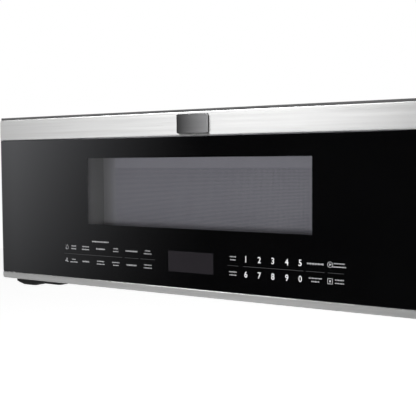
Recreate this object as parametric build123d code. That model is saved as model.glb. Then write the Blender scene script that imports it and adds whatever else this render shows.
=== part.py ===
from build123d import *

import os
from math import cos, radians, sin, sqrt

os.makedirs("parts", exist_ok=True)

# An over the range microwave with a full-width door, in millimetres.
# Origin: centre of the wall plate's back face. +X to the right, +Y into the wall, +Z up.

# ---- Cabinet ----
cabinet_height = 260.0
cabinet_depth = 418.0
sheet = 1.0
wall_plate_width = 700.0
wall_plate_height = 200.0
wall_plate_thickness = 2.0
stud_spacing = 406.4
stud_row_spacing = 120.0
stud_hole_radius = 3.5
hook_width = 36.0
hook_rise = 9.0
hook_reach = 5.0
hook_spacing = 500.0
hook_clearance = 0.5
cabinet_bolt_spacing = 560.0
cabinet_bolt_y = -300.0
cabinet_bolt_radius = 3.0
cabinet_nut_across = 13.0
cabinet_nut_height = 6.0
cabinet_nut_collar = 4.5
cord_bushing_inset = 58.5
cord_bushing_y = -62.0
cord_bushing_radius = 11.0
cord_hole_radius = 5.0
cord_bushing_flange = 2.0
back_screw_inset = 13.0
back_screw_radius = 4.0
back_screw_head = 1.6

# ---- Door ----
door_width = 759.0
door_overhang = 1.0
door_height = 256.0
door_depth = 43.0
door_gap = 2.0
door_drop = 2.0
band_height = 32.8
strip_height = 10.2
skin = 1.0
skin_return = 14.0
skin_corner = 4.0
glass_thickness = 4.0
glass_recess = 0.4
glass_gap = 0.3
badge_width = 52.6
badge_offset = 6.5
badge_height = 27.3
badge_thickness = 3.0
badge_corner = 2.5
frame_wall = 3.0
frame_front = 3.0
frame_top_drop = 8.0
rear_cover_thickness = 3.0
rear_corner = 8.0
grip_depth = 21.0
window_width = 381.0
window_height = 100.0
window_bottom = 93.6
window_margin = 5.0
touch_board_width = 500.0
touch_board_height = 54.0
touch_board_bottom = 24.0
touch_board_thickness = 1.6
display_width = 77.2
display_height = 29.4
display_bottom = 32.6
display_depth = 7.0
choke_inset = 89.5
choke_bottom = 35.0
choke_top_inset = 12.0
choke_depth = 17.5
choke_channel = 22.0
screen_thickness = 0.6
pane_lap = 14.0

# ---- Door hinge ----
hinge_inset = 12.0
hinge_stand_off = 14.0
hinge_pin_radius = 4.0
hinge_pin_length = 14.0
bush_radius = 6.5
bush_flange_radius = 8.6
boss_radius = 9.0
boss_height = 16.0
running_gap = 0.05
hinge_plate = 3.0
hinge_plate_width = 115.0
hinge_plate_back = 36.0
hinge_plate_reach = 32.0
hinge_plate_corner = 5.0
hinge_plate_chamfer = 18.0
hinge_door_gap = 3.0
hinge_cap_inset = 4.0
hinge_cap_length = 55.0
hinge_cap_width = 28.0
hinge_cap_drop = 6.0
hinge_cap_left_ramp = 24.0
hinge_cap_right_ramp = 6.0
hinge_cap_round = 2.5
upper_arm_width = 20.0
upper_arm_gap = 1.2
upper_arm_flange = 1.2
upper_arm_rise = 9.0
hinge_screw_radius = 2.5
hinge_screw_head = 2.0
hinge_screw_inset = 12.0
hinge_screw_shares = (0.25, 0.55, 0.85)

# ---- Oven ----
oven_width = 530.0
oven_height = 176.0
oven_depth = 320.0
oven_floor_height = 54.0
wave_port_depth = 90.0
wave_port_height = 44.0
wave_port_y = -215.0
wave_port_z = 40.0
wave_cover_margin = 8.0
wave_cover_thickness = 0.8
waveguide_width = 32.0

# ---- Turntable ----
tray_radius = 144.0
tray_thickness = 5.0
tray_rim = 11.0
tray_slope = 12.0
roller_radius = 9.0
roller_width = 7.0
roller_edge = 1.0
roller_count = 3
roller_axle_radius = 2.5
axle_end = 2.0
ring_radius = 96.0
ring_band = 6.0
ring_height = 6.0
seat_gap = 0.3
coupler_radius = 11.0
coupler_lobe = 15.0
coupler_lobe_width = 9.0
coupler_lift = 2.0
lug_radius = 3.5
lug_height = 6.0
lug_gap = 0.5
drive_shaft_radius = 3.5
drive_shaft_depth = 8.0
drive_hole_gap = 1.5
turntable_motor_radius = 24.5
turntable_motor_height = 14.0
motor_ear_length = 9.0
motor_ear_width = 14.0

# ---- Ventilation ----
filter_width = 270.0
filter_depth = 180.0
filter_thickness = 8.5
filter_centre_x = 228.0
filter_centre_y = -262.0
filter_clearance = 0.5
filter_ledge = 10.0
filter_rim = 7.0
filter_edge_radius = 1.5
filter_mesh = 2.0
filter_mesh_set = 1.5
flange_height = 12.0
filter_slot_columns = 14
filter_slot_rows = 9
filter_slot_share = 0.62
grille_width = 640.0
grille_depth = 38.0
grille_thickness = 6.0
grille_slots = 32
grille_bar = 6.0
grille_lip = 4.0
grille_front_gap = 4.0
charcoal_width = 420.0
charcoal_depth = 36.0
charcoal_height = 16.0
charcoal_slots = 16
charcoal_rim = 3.0
duct_width = 254.0
duct_depth = 82.6
duct_neck = 14.0
duct_wall = 1.5
duct_flange = 7.0
flap_thickness = 1.2
flap_clearance = 0.8
flap_pin_radius = 1.5
flap_pin_inset = 2.4
flap_seat = 3.0
blower_wall = 1.2
blower_wheel_radius = 35.0
blower_wheel_width = 76.0
blower_wheel_clearance = 7.5
blower_hub_gap = 4.0
blower_blades = 24
blower_blade_thickness = 1.0
blower_blade_chord = 9.0
blower_shaft_radius = 4.0
blower_motor_radius = 30.0
blower_motor_length = 70.0
blower_motor_round = 4.0
blower_inlet_radius = 28.0
blower_throat = 24.0
blower_foot_width = 24.0
blower_foot_height = 40.0
cradle_width = 8.0
cradle_depth = 28.0
wheel_disc = 2.0
wheel_rim = 3.0
blower_blade_tilt = 25.0

# ---- Power parts in the right-hand bay ----
magnetron_height = 86.0
magnetron_depth = 92.0
magnetron_yoke = 2.0
magnetron_fins = 8
fin_thickness = 0.8
anode_radius = 21.5
fin_inset = 4.0
antenna_radius = 7.0
antenna_length = 22.0
transformer_width = 76.0
transformer_depth = 88.0
transformer_height = 74.0
transformer_y = -118.0
transformer_foot = 2.0
foot_lug = 6.0
coil_overhang = 18.0
coil_inset = 10.0
capacitor_width = 52.0
capacitor_depth = 32.0
capacitor_height = 78.0
capacitor_gap = 8.0
capacitor_set_back = 50.0
terminal_height = 8.0
terminal_radius = 3.0
fan_size = 92.0
fan_ring_depth = 22.0
fan_plate = 2.0
fan_stand_off = 4.0
fan_tip_gap = 2.0
fan_bar_width = 14.0
fan_side_gap = 3.0
fan_shaft_set = 8.0
fan_blade_radius = 40.0
fan_hub_radius = 13.0
fan_blades = 5
fan_blade_chord = 18.0
fan_blade_thickness = 1.4
fan_blade_pitch = 58.0
fan_y = -318.0
fan_z = 36.0
fan_motor_radius = 20.0
fan_motor_length = 26.0
fan_shaft_radius = 2.5

# ---- Latch ----
latch_inset = 42.5
latch_thickness = 6.0
latch_bar_depth = 8.0
latch_bar_bottom = 64.0
latch_top_inset = 42.0
latch_arm_height = 10.0
latch_lower_arm = 32.0
latch_upper_arm = 24.0
latch_arm_reach = 24.0
latch_tip_drop = 4.0
latch_tip_length = 7.0
latch_travel = 4.0
latch_side_gap = 0.3
latch_spring_radius = 3.6
latch_spring_wire = 1.0
latch_spring_length = 16.0
latch_slot_side = 4.0
latch_guide = 3.0
latch_guide_length = 24.0
latch_board_gap = 1.0
latch_board_margin = 20.0
latch_board_flange = 24.0
switch_width = 17.0
switch_depth = 18.0
switch_height = 22.0
plunger_radius = 2.0
plunger_length = 11.0
plunger_out = 6.0
plunger_travel = 2.5
plunger_end_gap = 1.0

# ---- Lamps and boards ----
hood_lamp_spacing = 300.0
hood_lamp_y = -388.0
lens_width = 58.0
lens_depth = 34.0
lens_thickness = 3.0
lens_lip = 4.0
lamp_module_height = 12.0
oven_lamp_radius = 11.0
oven_lamp_length = 34.0
oven_lamp_y = -330.0
oven_lamp_z = 62.0
lamp_plate_size = 38.0
lamp_holder = 14.0
power_board_depth = 150.0
power_board_height = 100.0
power_board_y = -230.0
power_board_z = 10.0
board_thickness = 1.6
board_stand_off = 8.0
board_edge = 8.0
board_post_radius = 3.0
relay_count = 3
relay_pitch = 40.0
relay_length = 28.0
relay_width = 20.0
relay_height = 16.0
buffer_radius = 11.0
buffer_height = 30.0
board_supply_place = 62.0
board_supply_length = 42.0
board_supply_width = 34.0
board_supply_height = 26.0

# ---- Places that follow from the sizes above ----
half_width = door_width / 2 - door_overhang
cord_bushing_x = half_width - cord_bushing_inset
bottom_z = -cabinet_height / 2
top_z = cabinet_height / 2
back_y = -wall_plate_thickness
front_y = back_y - cabinet_depth
inside_x = half_width - sheet
inside_top = top_z - sheet
inside_bottom = bottom_z + sheet
inside_back = back_y - sheet
face_inner_y = front_y + sheet

door_back_y = front_y - door_gap
door_face_y = door_back_y - door_depth
door_bottom_z = bottom_z - door_drop
frame_half = door_width / 2 - skin
choke_half = door_width / 2 - choke_inset
choke_height = door_height - choke_bottom - choke_top_inset
frame_top = door_height - frame_top_drop
frame_right = frame_half - grip_depth
seat_depth = glass_recess + glass_thickness
web_depth = seat_depth + frame_front
cover_depth = door_depth - rear_cover_thickness
hinge_x = hinge_inset - door_width / 2
hinge_y = front_y - hinge_stand_off
hinge_plate_left = skin - door_width / 2
latch_x = frame_right - latch_inset
latch_bar_top = door_height - latch_top_inset
latch_arm_heights = (latch_bar_bottom + latch_lower_arm, latch_bar_top - latch_upper_arm)

oven_floor = bottom_z + oven_floor_height
oven_ceiling = oven_floor + oven_height
oven_back = face_inner_y + oven_depth
oven_side = oven_width / 2 + sheet
oven_shell_back = oven_back + sheet
turntable_y = face_inner_y + oven_depth / 2
roller_z = oven_floor + seat_gap + roller_radius
tray_z = roller_z + roller_radius + seat_gap

bay_y = (oven_shell_back + inside_back) / 2


# ---- Building blocks ----
def block(x0, x1, y0, y1, z0, z1):
    """A rectangular block between two opposite corners."""
    return Pos((x0 + x1) / 2, (y0 + y1) / 2, (z0 + z1) / 2) * Box(x1 - x0, y1 - y0, z1 - z0)


def door_block(x0, x1, d0, d1, h0, h1):
    """A block of the door: depths run back from its face, heights up from its lower edge."""
    return block(x0, x1, door_face_y + d0, door_face_y + d1, door_bottom_z + h0, door_bottom_z + h1)


def rod_x(x0, x1, y, z, radius):
    """A round bar along X."""
    return Pos((x0 + x1) / 2, y, z) * Rot(0, 90, 0) * Cylinder(radius, x1 - x0)


def rod_y(x, y0, y1, z, radius):
    """A round bar along Y."""
    return Pos(x, (y0 + y1) / 2, z) * Rot(90, 0, 0) * Cylinder(radius, y1 - y0)


def rod_z(x, y, z0, z1, radius):
    """A round bar along Z."""
    return Pos(x, y, (z0 + z1) / 2) * Cylinder(radius, z1 - z0)


def edges_along(shape, axis, *tests):
    """The edges of a shape that run along an axis and whose middles meet every test."""
    return [e for e in shape.edges().filter_by(axis) if all(test(e.center()) for test in tests)]


def save(name, *solids):
    """Writes one sub-part; like pieces that share it stay separate solids."""
    pieces = [s for solid in solids for s in solid.solids()]
    shape = pieces[0] if len(pieces) == 1 else Compound(children=pieces)
    shape.label = name
    export_step(shape, f"parts/{name}.step")


# ---- Cabinet shell ----
def base_pan():
    """Bottom sheet with side flanges, two stepped filter recesses and two lamp openings."""
    pan = block(-inside_x, inside_x, front_y + sheet, inside_back, bottom_z, bottom_z + sheet)
    for side in (-1, 1):
        flange_x = side * (inside_x - sheet / 2)
        pan += block(
            flange_x - sheet / 2, flange_x + sheet / 2,
            front_y + sheet, inside_back, bottom_z, bottom_z + flange_height,
        )
        pan += filter_recess(side * filter_centre_x)
        pan -= filter_room(side * filter_centre_x)
        lamp_x = side * hood_lamp_spacing / 2
        pan -= block(
            lamp_x - lens_width / 2, lamp_x + lens_width / 2,
            hood_lamp_y - lens_depth / 2, hood_lamp_y + lens_depth / 2,
            bottom_z - 1, bottom_z + flange_height,
        )
    return pan


def filter_half_sizes():
    """Half width and half depth of the room that one filter drops into."""
    return filter_width / 2 + filter_clearance, filter_depth / 2 + filter_clearance


def filter_recess(x):
    """The raised box round one filter, with the ledge that the filter seats against."""
    half_w, half_d = filter_half_sizes()
    return block(
        x - half_w - sheet, x + half_w + sheet,
        filter_centre_y - half_d - sheet, filter_centre_y + half_d + sheet,
        bottom_z, bottom_z + filter_thickness + 2 * filter_clearance + sheet,
    )


def filter_room(x):
    """The space for one filter, open below, and the air opening inside its ledge."""
    half_w, half_d = filter_half_sizes()
    room = block(
        x - half_w, x + half_w, filter_centre_y - half_d, filter_centre_y + half_d,
        bottom_z - 1, bottom_z + filter_thickness + 2 * filter_clearance,
    )
    air = block(
        x - half_w + filter_ledge, x + half_w - filter_ledge,
        filter_centre_y - half_d + filter_ledge, filter_centre_y + half_d - filter_ledge,
        bottom_z - 1, bottom_z + filter_thickness + flange_height,
    )
    return room + air


def outer_wrap():
    """Top and both sides bent from one sheet, open for the air grille, duct, bolts and cord."""
    wrap = block(-half_width, half_width, front_y, back_y, bottom_z, top_z)
    wrap -= block(-inside_x, inside_x, front_y - 1, back_y + 1, bottom_z - 1, inside_top)
    wrap -= block(
        -grille_width / 2, grille_width / 2, grille_front_y(), grille_front_y() + grille_depth,
        inside_top - 1, top_z + 1,
    )
    wrap -= block(
        -duct_width / 2, duct_width / 2, bay_y - duct_depth / 2, bay_y + duct_depth / 2,
        inside_top - 1, top_z + 1,
    )
    for side in (-1, 1):
        bolt_x = side * cabinet_bolt_spacing / 2
        wrap -= rod_z(bolt_x, cabinet_bolt_y, inside_top - 1, top_z + 1, cabinet_nut_collar)
    wrap -= rod_z(cord_bushing_x, cord_bushing_y, inside_top - 1, top_z + 1, cord_bushing_radius)
    return wrap


def back_panel():
    """Rear sheet with the two slots that hang on the wall plate's hooks."""
    panel = block(-inside_x, inside_x, inside_back, back_y, bottom_z, inside_top)
    for side in (-1, 1):
        panel -= hook_slot(side * hook_spacing / 2)
    return panel


def hook_bottom():
    """Height of the wall hooks' lower edge."""
    return -wall_plate_height / 2


def hook_slot(x):
    """The slot that one wall hook passes through."""
    return block(
        x - hook_width / 2 - hook_clearance, x + hook_width / 2 + hook_clearance,
        inside_back - 1, back_y + 1,
        hook_bottom() - hook_clearance, hook_bottom() + hook_rise + hook_clearance,
    )


def wall_plate():
    """Steel plate screwed to the wall studs, with two hooks turned up along its lower edge."""
    plate = block(
        -wall_plate_width / 2, wall_plate_width / 2, back_y, 0,
        -wall_plate_height / 2, wall_plate_height / 2,
    )
    for side in (-1, 1):
        hook_x = side * hook_spacing / 2
        plate += block(
            hook_x - hook_width / 2, hook_x + hook_width / 2,
            back_y - hook_reach, back_y, hook_bottom(), hook_bottom() + wall_plate_thickness,
        )
        plate += block(
            hook_x - hook_width / 2, hook_x + hook_width / 2,
            back_y - hook_reach, back_y - hook_reach + wall_plate_thickness,
            hook_bottom(), hook_bottom() + hook_rise,
        )
        for row in (-1, 1):
            hole_x = side * stud_spacing / 2
            plate -= rod_y(hole_x, back_y - 1, 1, row * stud_row_spacing / 2, stud_hole_radius)
    return plate


def front_frame():
    """Face sheet round the oven mouth, slotted for the latch hooks."""
    face = block(-inside_x, inside_x, front_y, face_inner_y, bottom_z, inside_top)
    face -= block(
        -oven_width / 2, oven_width / 2, front_y - 1, face_inner_y + 1, oven_floor, oven_ceiling,
    )
    for height in latch_arm_heights:
        face -= latch_slot(height, front_y - 1, face_inner_y + 1)
    return face


def cabinet_nuts():
    """Two clinch nuts, flush with the top, for the bolts that come down through the cabinet above."""
    nuts = []
    for side in (-1, 1):
        nut_x = side * cabinet_bolt_spacing / 2
        nut = block(
            nut_x - cabinet_nut_across / 2, nut_x + cabinet_nut_across / 2,
            cabinet_bolt_y - cabinet_nut_across / 2, cabinet_bolt_y + cabinet_nut_across / 2,
            inside_top - cabinet_nut_height, inside_top,
        )
        nut += rod_z(nut_x, cabinet_bolt_y, inside_top - 1, top_z, cabinet_nut_collar)
        nuts.append(nut - rod_z(
            nut_x, cabinet_bolt_y, inside_top - cabinet_nut_height - 1, top_z + 1, cabinet_bolt_radius,
        ))
    return nuts


def cord_bushing():
    """Flanged grommet in the top where the supply cord enters."""
    x, y = cord_bushing_x, cord_bushing_y
    bushing = rod_z(x, y, inside_top - 4 * sheet, top_z, cord_bushing_radius)
    bushing += rod_z(
        x, y, inside_top - 4 * sheet, inside_top, cord_bushing_radius + cord_bushing_flange,
    )
    return bushing - rod_z(x, y, inside_top - 5 * sheet, top_z + 1, cord_hole_radius)


# ---- Door ----
def door_skin(h0, h1, corner_height):
    """A folded steel trim over the door's front edge, with rounded outer corners."""
    half = door_width / 2
    outer = door_block(-half, half, 0, skin_return, h0, h1)
    corners = edges_along(outer, Axis.Y, lambda c: abs(c.Z - door_bottom_z - corner_height) < 0.1)
    return fillet(corners, skin_corner)


def door_top_band():
    """Brushed steel band across the top of the door."""
    h0 = door_height - band_height
    half = door_width / 2 - skin
    band = door_skin(h0, door_height, door_height)
    return band - door_block(-half, half, skin, skin_return + 1, h0 - 1, door_height - skin)


def door_bottom_trim():
    """Brushed steel strip along the bottom of the door."""
    half = door_width / 2 - skin
    trim = door_skin(0, strip_height, 0)
    return trim - door_block(-half, half, skin, skin_return + 1, skin, strip_height + 1)


def badge_plate():
    """Blank plate on the steel band, a little right of its middle."""
    middle = door_height - band_height / 2
    plate = door_block(
        badge_offset - badge_width / 2, badge_offset + badge_width / 2, -badge_thickness, 0,
        middle - badge_height / 2, middle + badge_height / 2,
    )
    return fillet(plate.edges().filter_by(Axis.Y), badge_corner)


def door_glass():
    """Black glass between the two steel trims."""
    half = door_width / 2 - glass_gap
    return door_block(
        -half, half, glass_recess, seat_depth,
        strip_height + glass_gap, door_height - band_height - glass_gap,
    )


def corner_wedge(shift):
    """The wedge taken off the hinge side's rear upright edge, which swings past the cabinet."""
    x0 = -frame_half + shift
    outline = Polyline(
        (x0 - rear_corner, door_back_y - 2 * rear_corner),
        (x0 + 2 * rear_corner, door_back_y + rear_corner),
        (x0 - rear_corner, door_back_y + rear_corner),
        close=True,
    )
    return Pos(0, 0, door_bottom_z) * extrude(make_face(outline), door_height)


def door_frame():
    """Moulded carrier: front web with the openings, side walls, and the two hinge bosses."""
    box = door_block(-frame_half, frame_right, skin, cover_depth, skin, frame_top) - corner_wedge(0)
    hollow = door_block(
        -frame_half + frame_wall, frame_right - frame_wall, web_depth, cover_depth + 1,
        skin + frame_wall, frame_top - frame_wall,
    )
    hollow -= corner_wedge(frame_wall * sqrt(2))
    frame = box - hollow
    frame += door_block(-frame_half, frame_half, skin, web_depth, skin, door_height - skin)
    frame -= door_block(
        -door_width, door_width, 0, seat_depth, strip_height, door_height - band_height,
    )
    frame -= door_block(
        -window_width / 2 - window_margin, window_width / 2 + window_margin, 0, web_depth + 1,
        window_bottom - window_margin, window_bottom + window_height + window_margin,
    )
    frame -= door_block(
        -touch_board_width / 2, touch_board_width / 2, 0, web_depth + 1,
        touch_board_bottom, touch_board_bottom + touch_board_height,
    )
    z0 = door_bottom_z + skin
    z1 = door_bottom_z + frame_top
    frame += rod_z(hinge_x, hinge_y, z0, z0 + boss_height, boss_radius)
    frame += rod_z(hinge_x, hinge_y, z1 - boss_height, z1, boss_radius)
    frame -= rod_z(hinge_x, hinge_y, z0 - 1, z1 + 1, bush_radius)
    return frame


def door_rear_cover():
    """Back cover of the door, open for the choke pan and the latch hooks, with the latch guides."""
    cover = door_block(-frame_half, frame_right, cover_depth, door_depth, skin, frame_top)
    cover -= corner_wedge(0)
    cover -= door_block(
        -choke_half, choke_half, cover_depth - 1, door_depth + 1,
        choke_bottom, choke_bottom + choke_height,
    )
    for height in latch_arm_heights:
        cover -= latch_slot(height, door_face_y + cover_depth - 1, door_back_y + 1)
    for side in (-1, 1):
        guide_x = latch_x + side * (latch_thickness / 2 + latch_side_gap + latch_guide / 2)
        cover += door_block(
            guide_x - latch_guide / 2, guide_x + latch_guide / 2,
            cover_depth - latch_bar_depth, cover_depth,
            latch_mid() - latch_guide_length / 2, latch_mid() + latch_guide_length / 2,
        )
    return cover + latch_spring_seat()


def choke_pan():
    """Steel inner door: a channel round its edge, a flat face, and a window well up to the glass."""
    half = choke_half
    h0, h1 = choke_bottom, choke_bottom + choke_height
    back = door_depth
    front = back - choke_depth
    pan = door_block(-half, half, front, back, h0, h1)
    pan -= door_block(
        -half + sheet, half - sheet, front + sheet, back + 1, h0 + sheet, h1 - sheet,
    )
    inner = choke_channel
    pan += door_block(-half + inner, half - inner, front, back, h0 + inner, h1 - inner)
    pan -= door_block(
        -half + inner + sheet, half - inner - sheet, front - 1, back - sheet,
        h0 + inner + sheet, h1 - inner - sheet,
    )
    wx = window_width / 2 + window_margin
    w0 = window_bottom - window_margin
    w1 = window_bottom + window_height + window_margin
    pan += door_block(-wx, wx, seat_depth, back, w0, w1)
    return pan - door_block(
        -wx + sheet, wx - sheet, seat_depth - 1, back + 1, w0 + sheet, w1 - sheet,
    )


def window_screen():
    """Fine perforated sheet that closes the window well against the microwaves."""
    wx = window_width / 2 + window_margin - sheet
    w0 = window_bottom - window_margin + sheet
    w1 = window_bottom + window_height + window_margin - sheet
    back = door_depth - sheet
    return door_block(-wx, wx, back - screen_thickness, back, w0, w1)


def inner_pane():
    """Clear pane over the window on the oven side, held by a snap rim in the well."""
    wx = window_width / 2 + window_margin - sheet
    w0 = window_bottom - window_margin + sheet
    w1 = window_bottom + window_height + window_margin - sheet
    pane = door_block(-wx, wx, door_depth - sheet, door_depth, w0, w1)
    return pane + door_block(
        -wx - pane_lap, wx + pane_lap, door_depth, door_depth + sheet, w0 - pane_lap, w1 + pane_lap,
    )


def touch_board():
    """Circuit board with the touch fields, behind the lower part of the glass."""
    board = door_block(
        -touch_board_width / 2, touch_board_width / 2, seat_depth, seat_depth + touch_board_thickness,
        touch_board_bottom, touch_board_bottom + touch_board_height,
    )
    return board - display_module()


def display_module():
    """Display let into the touch board, right behind the glass."""
    return door_block(
        -display_width / 2, display_width / 2, seat_depth, seat_depth + display_depth,
        display_bottom, display_bottom + display_height,
    )


def hinge_bushes():
    """Flanged bushes pressed into the door's lower and upper hinge bosses."""
    lower = door_bottom_z + skin
    upper = door_bottom_z + frame_top
    flange_low = door_bottom_z - hinge_door_gap + seat_gap
    flange_top = door_bottom_z + frame_top + upper_arm_gap - seat_gap
    bore = hinge_pin_radius + running_gap
    bottom_bush = rod_z(hinge_x, hinge_y, lower, lower + boss_height, bush_radius)
    bottom_bush += rod_z(hinge_x, hinge_y, flange_low, lower, bush_flange_radius)
    bottom_bush -= rod_z(hinge_x, hinge_y, flange_low - 1, lower + boss_height + 1, bore)
    top_bush = rod_z(hinge_x, hinge_y, upper - boss_height, upper, bush_radius)
    top_bush += rod_z(hinge_x, hinge_y, upper, flange_top, bush_flange_radius)
    top_bush -= rod_z(hinge_x, hinge_y, upper - boss_height - 1, flange_top + 1, bore)
    return bottom_bush, top_bush


# ---- Door hinge brackets, fixed to the cabinet ----
def lower_hinge_top():
    """Height of the lower bracket's upper face under the door."""
    return door_bottom_z - hinge_door_gap


def lower_hinge_bracket():
    """Steel bracket under the door's left end, with a deep rounded cap below the pin."""
    z1 = lower_hinge_top()
    z0 = z1 - hinge_plate
    x0 = hinge_plate_left
    x1 = x0 + hinge_plate_width
    plate = block(x0, x1, front_y - hinge_plate_reach, front_y + hinge_plate, z0, z1)
    front_corners = edges_along(plate, Axis.Z, lambda c: c.Y < front_y - hinge_plate_reach + 1)
    plate = chamfer(min(front_corners, key=lambda e: e.center().X), hinge_plate_chamfer)
    right_corner = edges_along(plate, Axis.Z, lambda c: c.X > x1 - 1 and c.Y < front_y)
    plate = fillet(right_corner, hinge_plate_corner)
    plate += block(x0, x1, front_y + sheet, front_y + hinge_plate, z0, bottom_z)
    plate += block(x0, x1, front_y, front_y + hinge_plate_back, bottom_z - hinge_plate, bottom_z)
    bracket = plate + hinge_cap(x0 + hinge_cap_inset, z0)
    for x in hinge_screw_places():
        bracket -= rod_z(x, hinge_screw_y(), bottom_z - hinge_plate - 1, bottom_z, hinge_screw_radius)
    return bracket


def hinge_cap(x0, z_top):
    """Pressed cap below the pin: a slot in plan, ramped down from both ends, with a rounded rim."""
    x1 = x0 + hinge_cap_length
    z_low = z_top - hinge_cap_drop
    rise = (hinge_cap_drop + hinge_plate) / hinge_cap_drop
    plan = Pos((x0 + x1) / 2, hinge_y + sheet, z_low) * extrude(
        SlotOverall(hinge_cap_length, hinge_cap_width), hinge_cap_drop + hinge_plate,
    )
    start = x0 + hinge_cap_left_ramp
    end = x1 - hinge_cap_right_ramp
    side = Plane.XZ * Polygon(
        (start - hinge_cap_left_ramp * rise, z_top + hinge_plate), (start, z_low),
        (end, z_low), (end + hinge_cap_right_ramp * rise, z_top + hinge_plate),
        align=None,
    )
    cap = plan & extrude(side, -2 * front_y)
    rim = [e for e in cap.edges() if e.center().Z < z_top]
    return fillet(rim, hinge_cap_round)


def hinge_screw_places():
    """X of the screws through the lower bracket."""
    return [hinge_plate_left + hinge_plate_width * share for share in hinge_screw_shares]


def hinge_screw_y():
    """Y of the screws through the lower bracket."""
    return front_y + hinge_plate_back - hinge_screw_inset


def upper_hinge_bracket():
    """Flat arm from the cabinet's face over the door's carrier, hidden behind the steel band."""
    z0 = door_bottom_z + frame_top + upper_arm_gap
    z1 = z0 + hinge_plate
    half = upper_arm_width / 2
    arm = block(hinge_x - half, hinge_x + half, hinge_y, front_y, z0, z1)
    arm += rod_z(hinge_x, hinge_y, z0, z1, half)
    return arm + block(
        hinge_x - half, hinge_x + half, front_y - upper_arm_flange, front_y, z0, z0 + upper_arm_rise,
    )


def hinge_pins():
    """The two pins that the door turns on, fixed in the brackets."""
    low = lower_hinge_top()
    high = door_bottom_z + frame_top + upper_arm_gap
    lower_pin = rod_z(hinge_x, hinge_y, low, low + hinge_pin_length, hinge_pin_radius)
    upper_pin = rod_z(hinge_x, hinge_y, high - hinge_pin_length, high, hinge_pin_radius)
    return lower_pin, upper_pin


def hinge_screws():
    """Three pan-head screws that hold the lower bracket to the base."""
    screws = []
    for x in hinge_screw_places():
        z = bottom_z - hinge_plate
        screw = rod_z(x, hinge_screw_y(), z, bottom_z, hinge_screw_radius)
        screw += rod_z(x, hinge_screw_y(), z - hinge_screw_head, z, 2 * hinge_screw_radius)
        screws.append(screw)
    return screws


# ---- Latch ----
def latch_mid():
    """Height of the middle of the latch bar above the door's lower edge."""
    return (latch_bar_bottom + latch_bar_top) / 2


def latch_slot(height, y0, y1):
    """The upright slot that one hook passes through."""
    half = latch_thickness / 2 + latch_slot_side
    return block(
        latch_x - half, latch_x + half, y0, y1,
        door_bottom_z + height - latch_tip_drop - latch_slot_side,
        door_bottom_z + height + latch_arm_height + latch_travel + latch_slot_side,
    )


def latch_lever():
    """Upright bar with two hooks that reach through the cabinet's face."""
    half = latch_thickness / 2
    bar_back = cover_depth - latch_side_gap
    lever = door_block(
        latch_x - half, latch_x + half, bar_back - latch_bar_depth, bar_back,
        latch_bar_bottom, latch_bar_top,
    )
    for height in latch_arm_heights:
        end = door_depth + latch_arm_reach
        lever += door_block(
            latch_x - half, latch_x + half, bar_back - 1, end, height, height + latch_arm_height,
        )
        lever += door_block(
            latch_x - half, latch_x + half, end - latch_tip_length, end,
            height - latch_tip_drop, height,
        )
    return lever


def latch_spring_seat():
    """Shelf on the back cover that the latch spring pushes from."""
    z1 = latch_bar_top + latch_spring_length
    half = latch_thickness
    return door_block(
        latch_x - half, latch_x + half, cover_depth - latch_bar_depth, cover_depth, z1, z1 + latch_guide,
    )


def latch_spring():
    """Small coil spring that pushes the latch bar down, as a sleeve of its outer size."""
    depth = cover_depth - latch_side_gap - latch_bar_depth / 2
    y = door_face_y + depth
    z0 = door_bottom_z + latch_bar_top
    z1 = z0 + latch_spring_length
    sleeve = rod_z(latch_x, y, z0, z1, latch_spring_radius)
    return sleeve - rod_z(latch_x, y, z0 - 1, z1 + 1, latch_spring_radius - latch_spring_wire)


def switch_front_y():
    """Y of the switches' front faces, behind the hooks' ends."""
    return door_back_y + latch_arm_reach + seat_gap + plunger_out


def latch_board_x():
    """X of the bracket face that the switches sit on, beside the hooks' slots."""
    return latch_x + latch_thickness / 2 + latch_slot_side + latch_board_gap


def latch_board():
    """Moulded bracket behind the cabinet's face that holds the two door switches."""
    x0 = latch_board_x()
    y1 = switch_front_y() + switch_depth
    z0 = door_bottom_z + latch_arm_heights[0] - latch_board_margin
    z1 = door_bottom_z + latch_arm_heights[1] + latch_arm_height + latch_board_margin
    board = block(x0, x0 + frame_wall, face_inner_y, y1, z0, z1)
    return board + block(x0, x0 + latch_board_flange, face_inner_y, face_inner_y + frame_wall, z0, z1)


def door_switches():
    """Two door switches behind the hooks, each bored for its plunger."""
    switches = []
    x1 = latch_board_x()
    y0 = switch_front_y()
    for height in latch_arm_heights:
        z = door_bottom_z + height + latch_arm_height / 2
        body = block(
            x1 - switch_width, x1, y0, y0 + switch_depth,
            z - switch_height / 2, z + switch_height / 2,
        )
        bore_end = y0 + plunger_length - plunger_out + plunger_travel + plunger_end_gap
        bore = rod_y(latch_x, y0 - 1, bore_end, z, plunger_radius + running_gap)
        switches.append(body - bore)
    return switches


def switch_plunger(height):
    """Plunger of one door switch, reaching to the end of its hook."""
    y0 = switch_front_y() - plunger_out
    z = door_bottom_z + height + latch_arm_height / 2
    return rod_y(latch_x, y0, y0 + plunger_length, z, plunger_radius)


# ---- Oven ----
def oven_cavity():
    """Five-walled steel box open to the front, with the wave port and the drive hole."""
    outer = block(
        -oven_side, oven_side, face_inner_y, oven_shell_back, oven_floor - sheet, oven_ceiling + sheet,
    )
    cavity = outer - block(
        -oven_width / 2, oven_width / 2, face_inner_y - 1, oven_back, oven_floor, oven_ceiling,
    )
    cavity -= block(
        oven_width / 2 - 1, oven_side + 1,
        wave_port_y - wave_port_depth / 2, wave_port_y + wave_port_depth / 2,
        wave_port_z - wave_port_height / 2, wave_port_z + wave_port_height / 2,
    )
    return cavity - rod_z(0, turntable_y, oven_floor - 2, oven_floor + 1, drive_shaft_radius + drive_hole_gap)


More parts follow.
